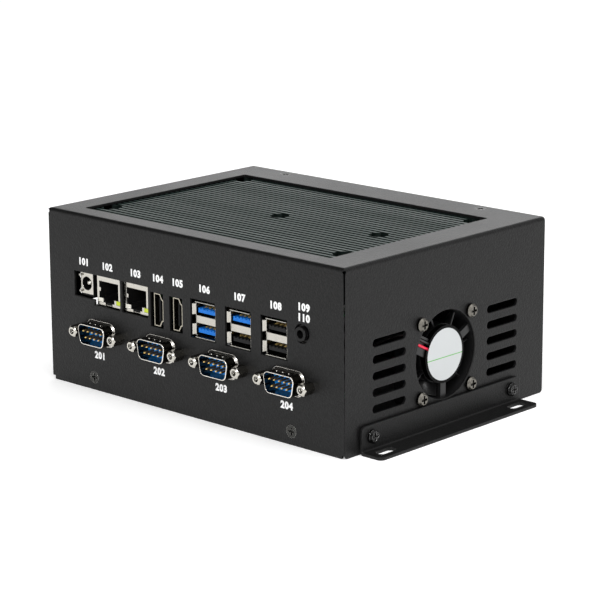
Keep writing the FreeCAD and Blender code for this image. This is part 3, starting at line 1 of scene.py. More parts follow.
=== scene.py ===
import bpy
import math
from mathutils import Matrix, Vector


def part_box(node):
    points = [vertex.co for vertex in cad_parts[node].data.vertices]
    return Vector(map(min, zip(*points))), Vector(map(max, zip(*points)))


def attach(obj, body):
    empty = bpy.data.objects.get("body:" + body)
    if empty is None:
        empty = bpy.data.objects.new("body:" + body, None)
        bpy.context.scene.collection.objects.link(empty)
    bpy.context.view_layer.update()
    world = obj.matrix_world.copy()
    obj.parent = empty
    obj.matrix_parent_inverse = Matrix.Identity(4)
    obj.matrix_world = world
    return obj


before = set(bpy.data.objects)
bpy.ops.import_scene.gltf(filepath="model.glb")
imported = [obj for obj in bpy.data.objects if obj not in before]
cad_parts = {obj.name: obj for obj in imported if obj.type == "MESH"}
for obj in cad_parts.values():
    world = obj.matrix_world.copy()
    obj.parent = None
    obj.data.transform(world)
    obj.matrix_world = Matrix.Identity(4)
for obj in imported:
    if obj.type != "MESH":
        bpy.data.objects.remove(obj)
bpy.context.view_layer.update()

# The camera stands in front of the right corner, a little above the case, as
# the photograph was taken with a long lens from about a metre away.
camera_place = (0.6903, -0.7280, 0.2935)
camera_tilt = 75.77
camera_roll = 0.387
camera_turn = 43.22
camera_lens = 140.2
bpy.ops.object.camera_add(location=camera_place, rotation=(
    math.radians(camera_tilt), math.radians(camera_roll), math.radians(camera_turn)))
camera = bpy.context.object
camera.data.sensor_width = 36.0
camera.data.lens = camera_lens
camera.data.clip_start = 0.05
camera.data.clip_end = 60.0
bpy.context.scene.camera = camera
bpy.context.scene.view_settings.view_transform = "Standard"


# The floor is a wide white sheet of studio paper on a light table, so it glows
# a little. It lies just under the case and is clear when seen from below.
def new_material(name):
    material = bpy.data.materials.new(name)
    material.use_nodes = True
    nodes = material.node_tree.nodes
    return material, nodes, material.node_tree.links, nodes["Principled BSDF"]


floor_size = 30.0
floor_height = -0.0001
paper_dark = (0.89, 0.89, 0.89)
paper_light = (0.91, 0.91, 0.91)
bpy.ops.object.select_all(action="DESELECT")
bpy.ops.mesh.primitive_plane_add(size=floor_size, location=(0, 0, floor_height))
floor = bpy.context.object
floor.name = "paper_floor"
paper, nodes, links, shader = new_material("white_paper")
grain = nodes.new("ShaderNodeTexNoise")
grain.inputs["Scale"].default_value = 90.0
tone = nodes.new("ShaderNodeMix")
tone.data_type = "RGBA"
tone.inputs["A"].default_value = (*paper_dark, 1)
tone.inputs["B"].default_value = (*paper_light, 1)
place = nodes.new("ShaderNodeTexCoord")
links.new(place.outputs["Object"], grain.inputs["Vector"])
links.new(grain.outputs["Fac"], tone.inputs["Factor"])
links.new(tone.outputs["Result"], shader.inputs["Base Color"])
shader.inputs["Roughness"].default_value = 0.85
shader.inputs["Specular IOR Level"].default_value = 0.2
shader.inputs["Emission Color"].default_value = (1, 1, 1, 1)
shader.inputs["Emission Strength"].default_value = 0.32
side = nodes.new("ShaderNodeNewGeometry")
clear = nodes.new("ShaderNodeBsdfTransparent")
one_sided = nodes.new("ShaderNodeMixShader")
links.new(side.outputs["Backfacing"], one_sided.inputs["Fac"])
links.new(shader.outputs["BSDF"], one_sided.inputs[1])
links.new(clear.outputs["BSDF"], one_sided.inputs[2])
links.new(one_sided.outputs["Shader"], nodes["Material Output"].inputs["Surface"])
floor.data.materials.append(paper)

# The room round the table is white with one dark side, at the upper left of the
# camera, which the black walls mirror. Its backdrop is a plain pale grey.
room_light = 0.62
dark_way = (-0.66, -0.28, 0.70)
dark_level = 0.03
backdrop_gray = 0.71
world = bpy.data.worlds.new("white_room")
world.use_nodes = True
room = world.node_tree
sight = room.nodes.new("ShaderNodeTexCoord")
dark_side = room.nodes.new("ShaderNodeVectorMath")
dark_side.operation = "DOT_PRODUCT"
dark_side.inputs[1].default_value = dark_way
room_tone = room.nodes.new("ShaderNodeMapRange")
room_tone.interpolation_type = "SMOOTHSTEP"
room_tone.inputs["From Min"].default_value = 0.68
room_tone.inputs["From Max"].default_value = 0.84
room_tone.inputs["To Min"].default_value = 1.0
room_tone.inputs["To Max"].default_value = dark_level
room.links.new(sight.outputs["Generated"], dark_side.inputs[0])
room.links.new(dark_side.outputs["Value"], room_tone.inputs["Value"])
room.links.new(room_tone.outputs["Result"], room.nodes["Background"].inputs["Color"])
room.nodes["Background"].inputs["Strength"].default_value = room_light
backdrop = room.nodes.new("ShaderNodeBackground")
backdrop.inputs["Color"].default_value = (backdrop_gray, backdrop_gray, backdrop_gray, 1)
ray = room.nodes.new("ShaderNodeLightPath")
seen = room.nodes.new("ShaderNodeMixShader")
room.links.new(ray.outputs["Is Camera Ray"], seen.inputs["Fac"])
room.links.new(room.nodes["Background"].outputs["Background"], seen.inputs[1])
room.links.new(backdrop.outputs["Background"], seen.inputs[2])
room.links.new(seen.outputs["Shader"], room.nodes["World Output"].inputs["Surface"])
bpy.context.scene.world = world


# Five soft boxes light the case: one hangs overhead, and the others stand behind
# it, at its fan side, low at the front left and beside the camera.
def soft_box(place, aim, size, power):
    bpy.ops.object.light_add(type="AREA", location=place)
    light = bpy.context.object
    direction = [a - b for a, b in zip(aim, place)]
    light.rotation_euler = Vector(direction).to_track_quat("-Z", "Y").to_euler()
    light.data.shape = "RECTANGLE"
    light.data.size = size[0]
    light.data.size_y = size[1]
    light.data.energy = power


soft_box(place=(0.4, 0.0, 1.5), aim=(0, 0, 0), size=(1.6, 1.6), power=12.0)
soft_box(place=(-1.35, 1.50, 1.00), aim=(0, 0, 0.08), size=(0.9, 0.5), power=5.0)
soft_box(place=(1.5, -0.3, 0.8), aim=(0, 0, 0.05), size=(0.5, 0.8), power=2.0)
soft_box(place=(-1.0, -1.1, 0.35), aim=(0, 0, 0.05), size=(0.5, 0.35), power=0.6)
soft_box(place=(0.7, -1.3, 0.9), aim=(0, 0, 0.04), size=(0.5, 0.5), power=13.0)


# The case is folded from steel sheet and powder coated in black. The coat has
# a fine grain and a low sheen, and it is rounded along the edges, where it has
# a paler painted highlight. The cover, the bottom plate and both brackets have
# it.
def new_group(name, inputs, outputs):
    group = bpy.data.node_groups.new(name, "ShaderNodeTree")
    for label, kind, value in inputs:
        socket = group.interface.new_socket(label, in_out="INPUT", socket_type=kind)
        if value is not None:
            socket.default_value = value
    for label, kind in outputs:
        group.interface.new_socket(label, in_out="OUTPUT", socket_type=kind)
    return (group, group.nodes, group.links, group.nodes.new("NodeGroupInput"),
            group.nodes.new("NodeGroupOutput"))


surface, group_nodes, group_links, group_in, group_out = new_group(
    "grained_surface",
    [("Vector", "NodeSocketVector", None), ("Dark", "NodeSocketColor", None),
     ("Light", "NodeSocketColor", None), ("Patch Scale", "NodeSocketFloat", 30.0),
     ("Grain Scale", "NodeSocketFloat", 2000.0), ("Grain Share", "NodeSocketFloat", 0.45),
     ("Rough Low", "NodeSocketFloat", 0.4), ("Rough High", "NodeSocketFloat", 0.6)],
    [("Color", "NodeSocketColor"), ("Roughness", "NodeSocketFloat"),
     ("Height", "NodeSocketFloat")])
patch = group_nodes.new("ShaderNodeTexNoise")
patch.inputs["Detail"].default_value = 4.0
fine = group_nodes.new("ShaderNodeTexNoise")
fine.inputs["Detail"].default_value = 2.0
grain_tone = group_nodes.new("ShaderNodeMapRange")
grain_tone.inputs["From Min"].default_value = 0.3
grain_tone.inputs["From Max"].default_value = 0.7
share = group_nodes.new("ShaderNodeMix")
color = group_nodes.new("ShaderNodeMix")
color.data_type = "RGBA"
spread = group_nodes.new("ShaderNodeMapRange")
spread.inputs["From Min"].default_value = 0.3
spread.inputs["From Max"].default_value = 0.7
group_links.new(group_in.outputs["Vector"], patch.inputs["Vector"])
group_links.new(group_in.outputs["Vector"], fine.inputs["Vector"])
group_links.new(group_in.outputs["Patch Scale"], patch.inputs["Scale"])
group_links.new(group_in.outputs["Grain Scale"], fine.inputs["Scale"])
group_links.new(fine.outputs["Fac"], grain_tone.inputs["Value"])
group_links.new(group_in.outputs["Grain Share"], share.inputs["Factor"])
group_links.new(patch.outputs["Fac"], share.inputs["A"])
group_links.new(grain_tone.outputs["Result"], share.inputs["B"])
group_links.new(share.outputs["Result"], color.inputs["Factor"])
group_links.new(group_in.outputs["Dark"], color.inputs["A"])
group_links.new(group_in.outputs["Light"], color.inputs["B"])
group_links.new(patch.outputs["Fac"], spread.inputs["Value"])
group_links.new(group_in.outputs["Rough Low"], spread.inputs["To Min"])
group_links.new(group_in.outputs["Rough High"], spread.inputs["To Max"])
group_links.new(color.outputs["Result"], group_out.inputs["Color"])
group_links.new(spread.outputs["Result"], group_out.inputs["Roughness"])
group_links.new(fine.outputs["Fac"], group_out.inputs["Height"])

# The edges are rounded by a bevel normal, and a mask along them mixes in a colour of their
# own: painted light along the edges.
edges, group_nodes, group_links, group_in, group_out = new_group(
    "rounded_edges_painted_light",
    [("Color", "NodeSocketColor", None), ("Painted Edge Light", "NodeSocketColor", None),
     ("Radius", "NodeSocketFloat", 0.0003)],
    [("Color", "NodeSocketColor"), ("Normal", "NodeSocketVector")])
rounding = group_nodes.new("ShaderNodeBevel")
rounding.samples = 6
flat = group_nodes.new("ShaderNodeNewGeometry")
agree = group_nodes.new("ShaderNodeVectorMath")
agree.operation = "DOT_PRODUCT"
turned = group_nodes.new("ShaderNodeMapRange")
turned.inputs["From Min"].default_value = 0.985
turned.inputs["From Max"].default_value = 0.80
paler = group_nodes.new("ShaderNodeMix")
paler.data_type = "RGBA"
group_links.new(group_in.outputs["Radius"], rounding.inputs["Radius"])
group_links.new(rounding.outputs["Normal"], agree.inputs[0])
group_links.new(flat.outputs["True Normal"], agree.inputs[1])
group_links.new(agree.outputs["Value"], turned.inputs["Value"])
group_links.new(turned.outputs["Result"], paler.inputs["Factor"])
group_links.new(group_in.outputs["Color"], paler.inputs["A"])
group_links.new(group_in.outputs["Painted Edge Light"], paler.inputs["B"])
group_links.new(paler.outputs["Result"], group_out.inputs["Color"])
group_links.new(rounding.outputs["Normal"], group_out.inputs["Normal"])

# Faces turned to a given direction get a colour of their own. The lamps use it for their
# lenses, and the plated and anodised materials use it to paint light on the faces turned
# toward the light.
faces, group_nodes, group_links, group_in, group_out = new_group(
    "bright_faces",
    [("Color", "NodeSocketColor", None), ("Face Color", "NodeSocketColor", None),
     ("Direction", "NodeSocketVector", None)],
    [("Color", "NodeSocketColor")])
facing = group_nodes.new("ShaderNodeNewGeometry")
toward = group_nodes.new("ShaderNodeVectorMath")
toward.operation = "DOT_PRODUCT"
how_far = group_nodes.new("ShaderNodeMapRange")
how_far.inputs["From Min"].default_value = 0.2
how_far.inputs["From Max"].default_value = 0.6
turned_bright = group_nodes.new("ShaderNodeMix")
turned_bright.data_type = "RGBA"
group_links.new(facing.outputs["True Normal"], toward.inputs[0])
group_links.new(group_in.outputs["Direction"], toward.inputs[1])
group_links.new(toward.outputs["Value"], how_far.inputs["Value"])
group_links.new(how_far.outputs["Result"], turned_bright.inputs["Factor"])
group_links.new(group_in.outputs["Color"], turned_bright.inputs["A"])
group_links.new(group_in.outputs["Face Color"], turned_bright.inputs["B"])
group_links.new(turned_bright.outputs["Result"], group_out.inputs["Color"])


def grained(name, dark, light, rough, patch_scale, grain_scale, bump_depth,
            grain_share=0.45, stretch=(1, 1, 1), metallic=0.0, specular=0.5,
            edge_painted_light=None, edge_radius=0.0003, face_painted_light=None, painted_light_side=(0, -1, 0)):
    # A material with patches and fine grain, stretched along an axis where it is
    # brushed. An edge painted light rounds the edges and paints them, mostly with a
    # painted highlight, and on the fan's screws with a painted dark outline. A face
    # painted light is painted on the faces turned to one side, as painted light
    # from that side.
    material, nodes, links, shader = new_material(name)
    place = nodes.new("ShaderNodeTexCoord")
    scaled = nodes.new("ShaderNodeMapping")
    scaled.inputs["Scale"].default_value = stretch
    group = nodes.new("ShaderNodeGroup")
    group.node_tree = surface
    group.inputs["Dark"].default_value = (*dark, 1)
    group.inputs["Light"].default_value = (*light, 1)
    group.inputs["Patch Scale"].default_value = patch_scale
    group.inputs["Grain Scale"].default_value = grain_scale
    group.inputs["Grain Share"].default_value = grain_share
    group.inputs["Rough Low"].default_value = rough[0]
    group.inputs["Rough High"].default_value = rough[1]
    bump = nodes.new("ShaderNodeBump")
    bump.inputs["Distance"].default_value = bump_depth
    bump.inputs["Strength"].default_value = 0.6
    links.new(place.outputs["Object"], scaled.inputs["Vector"])
    links.new(scaled.outputs["Vector"], group.inputs["Vector"])
    tint = group.outputs["Color"]
    if face_painted_light is not None:
        bright = nodes.new("ShaderNodeGroup")
        bright.node_tree = faces
        bright.inputs["Face Color"].default_value = (*face_painted_light, 1)
        bright.inputs["Direction"].default_value = painted_light_side
        links.new(tint, bright.inputs["Color"])
        tint = bright.outputs["Color"]
    if edge_painted_light is None:
        links.new(tint, shader.inputs["Base Color"])
    else:
        rim = nodes.new("ShaderNodeGroup")
        rim.node_tree = edges
        rim.inputs["Painted Edge Light"].default_value = (*edge_painted_light, 1)
        rim.inputs["Radius"].default_value = edge_radius
        links.new(tint, rim.inputs["Color"])
        links.new(rim.outputs["Color"], shader.inputs["Base Color"])
        links.new(rim.outputs["Normal"], bump.inputs["Normal"])
    links.new(group.outputs["Roughness"], shader.inputs["Roughness"])
    links.new(group.outputs["Height"], bump.inputs["Height"])
    links.new(bump.outputs["Normal"], shader.inputs["Normal"])
    shader.inputs["Metallic"].default_value = metallic
    shader.inputs["Specular IOR Level"].default_value = specular
    return material


def dress(material, *names):
    for name in names:
        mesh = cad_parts[name].data
        mesh.materials.clear()
        mesh.materials.append(material)


powder_coat = grained(
    "black_powder_coat", dark=(0.0030, 0.0030, 0.0030), light=(0.0118, 0.0118, 0.0119),
    rough=(0.34, 0.42), patch_scale=12.0, grain_scale=1400.0, bump_depth=0.00026,
    grain_share=0.75, specular=0.20, edge_painted_light=(0.026, 0.026, 0.027), edge_radius=0.00035)
dress(powder_coat, "cover", "bottom_plate", "right_bracket", "left_bracket")

# The brackets' and the heatsink's screws and the pillars of the mainboard are
# steel with a glossy black oxide, and the countersunk screws have a duller black
# zinc. Their edges, the cross recesses' too, have a pale painted highlight.
black_oxide = grained(
    "black_oxide", dark=(0.003, 0.003, 0.003), light=(0.008, 0.008, 0.008),
    rough=(0.08, 0.15), patch_scale=300.0, grain_scale=2500.0, bump_depth=0.000004,
    metallic=0.7, edge_painted_light=(0.80, 0.80, 0.80), edge_radius=0.00016)
dress(black_oxide, "bracket_screws", "heatsink_screws", "board_pillars")
black_zinc = grained(
    "black_zinc", dark=(0.030, 0.030, 0.028), light=(0.056, 0.056, 0.052),
    rough=(0.20, 0.30), patch_scale=300.0, grain_scale=2500.0, bump_depth=0.000006,
    metallic=0.8, edge_painted_light=(0.55, 0.55, 0.52), edge_radius=0.00012)
dress(black_zinc, "countersunk_screws")

# The nuts and spacers inside the case and the serial board's screws are zinc
# plated steel. The coin cell, the fan's shaft and the cap of the power button
# have the same grey look.
zinc = grained(
    "zinc_plate", dark=(0.42, 0.42, 0.41), light=(0.62, 0.62, 0.60), rough=(0.28, 0.42),
    patch_scale=160.0, grain_scale=1800.0, bump_depth=0.00001, metallic=1.0)
dress(zinc, "press_nuts", "hex_nuts", "serial_screws", "board_spacers", "coin_cell",
      "fan_shaft", "button_cap")

# The heatsink is one aluminium extrusion, anodised in a dark grey green. Its
# drawing lines run along the fins. The tops of the fins are painted paler, a
# painted highlight of the light from above.
anodised = grained(
    "anodised_fins", dark=(0.004, 0.008, 0.007), light=(0.010, 0.017, 0.015),
    rough=(0.40, 0.55), patch_scale=60.0, grain_scale=900.0, bump_depth=0.00002,
    stretch=(0.04, 1.0, 1.0), metallic=0.25, specular=0.16,
    face_painted_light=(0.028, 0.047, 0.042), painted_light_side=(0, 0, 1))
dress(anodised, "heatsink")

# The boards are glass fibre with a green solder mask over copper tracks. The
# mainboard hangs upside down under the heatsink, with its memory and processor.
board_mask, nodes, links, shader = new_material("solder_mask")
place = nodes.new("ShaderNodeTexCoord")
tracks = nodes.new("ShaderNodeTexBrick")
tracks.inputs["Scale"].default_value = 160.0
tracks.inputs["Mortar Size"].default_value = 0.06
tracks.inputs["Color1"].default_value = (0.006, 0.060, 0.022, 1)
tracks.inputs["Color2"].default_value = (0.010, 0.085, 0.030, 1)
tracks.inputs["Mortar"].default_value = (0.030, 0.160, 0.060, 1)
relief = nodes.new("ShaderNodeBump")
relief.inputs["Distance"].default_value = 0.00004
speckle = nodes.new("ShaderNodeTexNoise")
speckle.inputs["Scale"].default_value = 300.0
sheen = nodes.new("ShaderNodeMapRange")
sheen.inputs["To Min"].default_value = 0.25
sheen.inputs["To Max"].default_value = 0.45
links.new(place.outputs["Object"], tracks.inputs["Vector"])
links.new(place.outputs["Object"], speckle.inputs["Vector"])
links.new(tracks.outputs["Color"], shader.inputs["Base Color"])
links.new(speckle.outputs["Fac"], sheen.inputs["Value"])
links.new(sheen.outputs["Result"], shader.inputs["Roughness"])
links.new(tracks.outputs["Fac"], relief.inputs["Height"])
links.new(relief.outputs["Normal"], shader.inputs["Normal"])
dress(board_mask, "mainboard", "serial_board", "memory_module", "processor")

# Turned brass posts carry the serial board, and the sleeve of the fan's bearing
# has the same colour. A copper plate takes the processor's heat to the heatsink,
# and the fan's stator is wound with copper wire.
brass = grained(
    "turned_brass", dark=(0.50, 0.38, 0.17), light=(0.68, 0.54, 0.27), rough=(0.25, 0.40),
    patch_scale=120.0, grain_scale=1500.0, bump_depth=0.00001, metallic=1.0)
dress(brass, "serial_standoffs", "fan_bearing")
copper = grained(
    "copper", dark=(0.45, 0.19, 0.10), light=(0.70, 0.34, 0.20), rough=(0.25, 0.45),
    patch_scale=90.0, grain_scale=2200.0, bump_depth=0.00001, stretch=(0.1, 1, 1),
    metallic=1.0)
dress(copper, "heat_plate", "fan_stator")

# The storage drive lies flat on the bottom plate, in a shell of brushed aluminium
# whose lines run along the drive.
drive_shell = grained(
    "brushed_aluminium", dark=(0.32, 0.32, 0.33), light=(0.48, 0.48, 0.49),
    rough=(0.30, 0.45), patch_scale=20.0, grain_scale=1600.0, bump_depth=0.00002,
    stretch=(0.05, 1, 1), metallic=1.0)
dress(drive_shell, "drive")

# Socket shells, jackscrews, the button's body and the fan's screws are steel
# plated with nickel or tin. The shells, the jackscrews, the inlet and the fan's
# screws have a painted reflection on their faces turned to the front (to the fan
# side on the fan's screws), and their other sides are left darker as painted
# shade. All but the video shells have painted highlights along their edges, and
# the fan's screws have a painted dark outline there instead.
nickel_dark = (0.15, 0.142, 0.125)
nickel_light = (0.20, 0.190, 0.167)
nickel = grained(
    "nickel_plate", dark=nickel_dark, light=nickel_light, rough=(0.18, 0.28),
    patch_scale=220.0, grain_scale=1500.0, bump_depth=0.000002, metallic=1.0,
    edge_painted_light=(0.95, 0.93, 0.88), edge_radius=0.00012, face_painted_light=(0.54, 0.52, 0.47))
dress(nickel, "network_shell_1", "network_shell_2", "jackscrews", "inlet_face", "inlet_pin")
stamped_nickel = grained(
    "stamped_nickel", dark=nickel_dark, light=nickel_light, rough=(0.18, 0.28),
    patch_scale=220.0, grain_scale=1500.0, bump_depth=0.000002, metallic=1.0,
    edge_painted_light=(1.0, 0.98, 0.93), edge_radius=0.00024, face_painted_light=(0.50, 0.48, 0.435))
dress(stamped_nickel, "stacked_shell_1", "stacked_shell_2", "stacked_shell_3")
drawn_nickel = grained(
    "drawn_nickel", dark=(0.05, 0.046, 0.038), light=(0.08, 0.073, 0.06), rough=(0.14, 0.24),
    patch_scale=220.0, grain_scale=1500.0, bump_depth=0.000001, metallic=1.0,
    edge_painted_light=(0.90, 0.87, 0.80), edge_radius=0.00018, face_painted_light=(0.86, 0.83, 0.77))
dress(drawn_nickel, "serial_shell_1", "serial_shell_2", "serial_shell_3", "serial_shell_4")
video_plate = grained(
    "video_plate", dark=(0.10, 0.092, 0.075), light=(0.18, 0.165, 0.135), rough=(0.24, 0.36),
    patch_scale=220.0, grain_scale=1500.0, bump_depth=0.000002, metallic=1.0,
    face_painted_light=(0.42, 0.39, 0.32))
dress(video_plate, "video_shells")
button_plate = grained(
    "button_plate", dark=(0.60, 0.58, 0.54), light=(0.74, 0.72, 0.67), rough=(0.16, 0.28),
    patch_scale=220.0, grain_scale=1500.0, bump_depth=0.000003, metallic=1.0,
    edge_painted_light=(0.88, 0.87, 0.84), edge_radius=0.0002)
dress(button_plate, "button_body", "button_nut")
dull_nickel = grained(
    "dull_nickel", dark=(0.006, 0.006, 0.005), light=(0.012, 0.012, 0.010),
    rough=(0.22, 0.34), patch_scale=260.0, grain_scale=1800.0, bump_depth=0.000005,
    metallic=1.0, edge_painted_light=(0.012, 0.012, 0.011), edge_radius=0.00018,
    face_painted_light=(0.17, 0.161, 0.142), painted_light_side=(1, 0, 0))
dress(dull_nickel, "fan_screws")

# A fine thread is cut in the bore of each jackscrew, for the screw of a plug. It
# is one triangle swept along a helix from just inside the mouth.
thread_radius = 0.00127
thread_depth = 0.00030
thread_pitch = 0.00064
thread_turns = 6
turn_steps = 28
mouth_depth = 0.0001
post_offset = 0.0125
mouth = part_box("jackscrews")[0].y + mouth_depth
shell_boxes = [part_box("serial_shell_%d" % count) for count in (1, 2, 3, 4)]
post_places = [((low.x + high.x) / 2 + side * post_offset, (low.z + high.z) / 2)
               for low, high in shell_boxes for side in (-1, 1)]
bpy.ops.object.select_all(action="DESELECT")
bpy.ops.mesh.primitive_circle_add(vertices=3, radius=thread_depth,
                                  location=(thread_radius, 0, 0), rotation=(0, 0, math.pi / 2))
thread = bpy.context.object
thread.name = "jackscrew_thread_1"
bpy.ops.object.transform_apply(location=True, rotation=True, scale=True)
sweep = thread.modifiers.new("Thread", "SCREW")
sweep.axis = "Y"
sweep.angle = math.tau
sweep.screw_offset = thread_pitch
sweep.iterations = thread_turns
sweep.steps = turn_steps
sweep.render_steps = turn_steps
sweep.use_normal_calculate = True
bpy.ops.object.modifier_apply(modifier=sweep.name)
bpy.ops.object.mode_set(mode="EDIT")
bpy.ops.mesh.select_all(action="SELECT")
bpy.ops.mesh.fill_holes(sides=3)
bpy.ops.mesh.normals_make_consistent(inside=False)
bpy.ops.object.mode_set(mode="OBJECT")
thread.data.materials.append(nickel)
threads = [thread]
for count in range(2, len(post_places) + 1):
    copy = thread.copy()
    copy.data = thread.data.copy()
    copy.name = "jackscrew_thread_%d" % count
    bpy.context.collection.objects.link(copy)
    threads.append(copy)
for piece, (x, z) in zip(threads, post_places):
    bpy.ops.object.select_all(action="DESELECT")
    piece.select_set(True)
    bpy.context.view_layer.objects.active = piece
    piece.location = (x, mouth + thread_pitch / 2, z)
    bpy.ops.object.transform_apply(location=True, rotation=True, scale=True)
    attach(piece, "case")

# The pins and contacts are brass with a flash of gold. The serial pins are
# bright gold at their tips only, and the rest of each is painted dark brown, a
# painted shade of the inside of the shell.
tip_full = 0.0003
tip_end = 0.0007
gold = grained(
    "gold_flash", dark=(0.90, 0.60, 0.18), light=(1.00, 0.76, 0.32), rough=(0.22, 0.34),
    patch_scale=400.0, grain_scale=2500.0, bump_depth=0.000002, metallic=0.40)
dress(gold, "network_contacts", "tongue_contacts")
pin_gold = grained(
    "pin_gold", dark=(0.060, 0.040, 0.018), light=(0.105, 0.070, 0.030), rough=(0.22, 0.34),
    patch_scale=400.0, grain_scale=2500.0, bump_depth=0.000002, metallic=0.35)
nodes, links = pin_gold.node_tree.nodes, pin_gold.node_tree.links
shader = nodes["Principled BSDF"]
place = nodes.new("ShaderNodeTexCoord")
along = nodes.new("ShaderNodeSeparateXYZ")
pin_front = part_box("serial_pins")[0].y
tip_share = nodes.new("ShaderNodeMapRange")
tip_share.inputs["From Min"].default_value = pin_front + tip_end
tip_share.inputs["From Max"].default_value = pin_front + tip_full
tipped = nodes.new("ShaderNodeMix")
tipped.data_type = "RGBA"
tipped.inputs["B"].default_value = (1.0, 0.70, 0.24, 1)
shank_painted_shade = shader.inputs["Base Color"].links[0].from_socket
links.new(place.outputs["Object"], along.inputs["Vector"])
links.new(along.outputs["Y"], tip_share.inputs["Value"])
links.new(tip_share.outputs["Result"], tipped.inputs["Factor"])
links.new(shank_painted_shade, tipped.inputs["A"])
links.new(tipped.outputs["Result"], shader.inputs["Base Color"])
dress(pin_gold, "serial_pins")

# Insulators, tongues and socket housings are moulded in glass filled plastic,
# blue or black, and are pressed into their shells. The blue tongues and the
# audio socket have a paler painted highlight along their edges.
serial_blue = grained(
    "serial_blue", dark=(0.010, 0.220, 0.68), light=(0.030, 0.360, 1.00),
    rough=(0.22, 0.32), patch_scale=150.0, grain_scale=2500.0, bump_depth=0.000003,
    specular=0.50)
dress(serial_blue, "serial_insulators")
tongue_blue = grained(
    "tongue_blue", dark=(0.002, 0.125, 0.52), light=(0.004, 0.180, 0.66),
    rough=(0.28, 0.42), patch_scale=150.0, grain_scale=2500.0, bump_depth=0.000005,
    specular=0.22, edge_painted_light=(0.06, 0.36, 1.0), edge_radius=0.0002)
dress(tongue_blue, "blue_tongues")
black_plastic = grained(
    "black_plastic", dark=(0.004, 0.004, 0.0042), light=(0.008, 0.008, 0.0084),
    rough=(0.35, 0.50), patch_scale=120.0, grain_scale=2500.0, bump_depth=0.00001,
    specular=0.22)
dress(black_plastic, "black_tongues", "power_inlet", "board_sockets")
matt_plastic = grained(
    "matt_plastic", dark=(0.004, 0.004, 0.004), light=(0.008, 0.008, 0.008),
    rough=(0.50, 0.65), patch_scale=120.0, grain_scale=2500.0, bump_depth=0.00001,
    specular=0.15)
dress(matt_plastic, "network_housings", "video_housings")
socket_plastic = grained(
    "socket_plastic", dark=(0.003, 0.003, 0.003), light=(0.006, 0.006, 0.006),
    rough=(0.25, 0.35), patch_scale=120.0, grain_scale=2500.0, bump_depth=0.00001,
    specular=0.20, edge_painted_light=(0.03, 0.03, 0.03), edge_radius=0.0003)
dress(socket_plastic, "audio_socket")

# Each network socket has a clear lamp on its left and a yellow green one on its
# right. Only their faces turned to the front have these colours, and their other
# faces are black. The lamps at the rear are plain green plastic.
clear_lamp = (0.72, 0.70, 0.62)
yellow_lamp = (0.50, 0.60, 0.01)
lamp_side_black = (0.006, 0.006, 0.006)
lamp_plastic, nodes, links, shader = new_material("lamp_plastic")
place = nodes.new("ShaderNodeTexCoord")
across = nodes.new("ShaderNodeSeparateXYZ")
socket_low, socket_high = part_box("network_shell_1")
socket_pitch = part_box("network_shell_2")[0].x - socket_low.x
socket_middle = (socket_low.x + socket_high.x) / 2
from_socket = nodes.new("ShaderNodeMath")
from_socket.operation = "SUBTRACT"
from_socket.inputs[1].default_value = socket_middle
within = nodes.new("ShaderNodeMath")
within.operation = "WRAP"
within.inputs[1].default_value = socket_pitch / 2
within.inputs[2].default_value = -socket_pitch / 2
is_right = nodes.new("ShaderNodeMath")
is_right.operation = "GREATER_THAN"
is_right.inputs[1].default_value = 0.0
lamp_color = nodes.new("ShaderNodeMix")
lamp_color.data_type = "RGBA"
lamp_color.inputs["A"].default_value = (*clear_lamp, 1)
lamp_color.inputs["B"].default_value = (*yellow_lamp, 1)
haze = nodes.new("ShaderNodeTexNoise")
haze.inputs["Scale"].default_value = 900.0
haze_range = nodes.new("ShaderNodeMapRange")
haze_range.inputs["To Min"].default_value = 0.15
haze_range.inputs["To Max"].default_value = 0.35
links.new(place.outputs["Object"], across.inputs["Vector"])
links.new(place.outputs["Object"], haze.inputs["Vector"])
links.new(across.outputs["X"], from_socket.inputs[0])
links.new(from_socket.outputs[0], within.inputs[0])
links.new(within.outputs[0], is_right.inputs[0])
links.new(is_right.outputs[0], lamp_color.inputs["Factor"])
lens = nodes.new("ShaderNodeGroup")
lens.node_tree = faces
lens.inputs["Color"].default_value = (*lamp_side_black, 1)
lens.inputs["Direction"].default_value = (0, -1, 0)
links.new(lamp_color.outputs["Result"], lens.inputs["Face Color"])
links.new(lens.outputs["Color"], shader.inputs["Base Color"])
links.new(haze.outputs["Fac"], haze_range.inputs["Value"])
links.new(haze_range.outputs["Result"], shader.inputs["Roughness"])
dress(lamp_plastic, "network_lights")
green_lamp = grained(
    "green_lamp", dark=(0.18, 0.42, 0.05), light=(0.28, 0.55, 0.08), rough=(0.12, 0.25),
    patch_scale=500.0, grain_scale=2500.0, bump_depth=0.000005)
dress(green_lamp, "status_lights")

# The fan's frame and rotor are moulded in black glass filled plastic. Round its
# label the hub is painted near black and made metallic, so that it mirrors almost
# nothing: a painted shade. The magnet ring inside the rotor is bonded ferrite.
fan_dark = (0.004, 0.004, 0.0042)
fan_light = (0.010, 0.010, 0.0105)
hub_painted_shade = (0.004, 0.004, 0.004)
hub_radius = 0.01245
fan_plastic = grained(
    "fan_plastic", dark=fan_dark, light=fan_light, rough=(0.26, 0.38), patch_scale=90.0,
    grain_scale=2200.0, bump_depth=0.00001, specular=0.38)
dress(fan_plastic, "fan_rotor")
frame_plastic = grained(
    "frame_plastic", dark=fan_dark, light=fan_light, rough=(0.30, 0.42), patch_scale=90.0,
    grain_scale=2200.0, bump_depth=0.00001, specular=0.46)
hub_low, hub_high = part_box("fan_frame")
hub_y = (hub_low.y + hub_high.y) / 2
hub_z = (hub_low.z + hub_high.z) / 2
nodes, links = frame_plastic.node_tree.nodes, frame_plastic.node_tree.links
shader = nodes["Principled BSDF"]
place = nodes.new("ShaderNodeTexCoord")
from_axis = nodes.new("ShaderNodeMapping")
from_axis.inputs["Location"].default_value = (0, -hub_y, -hub_z)
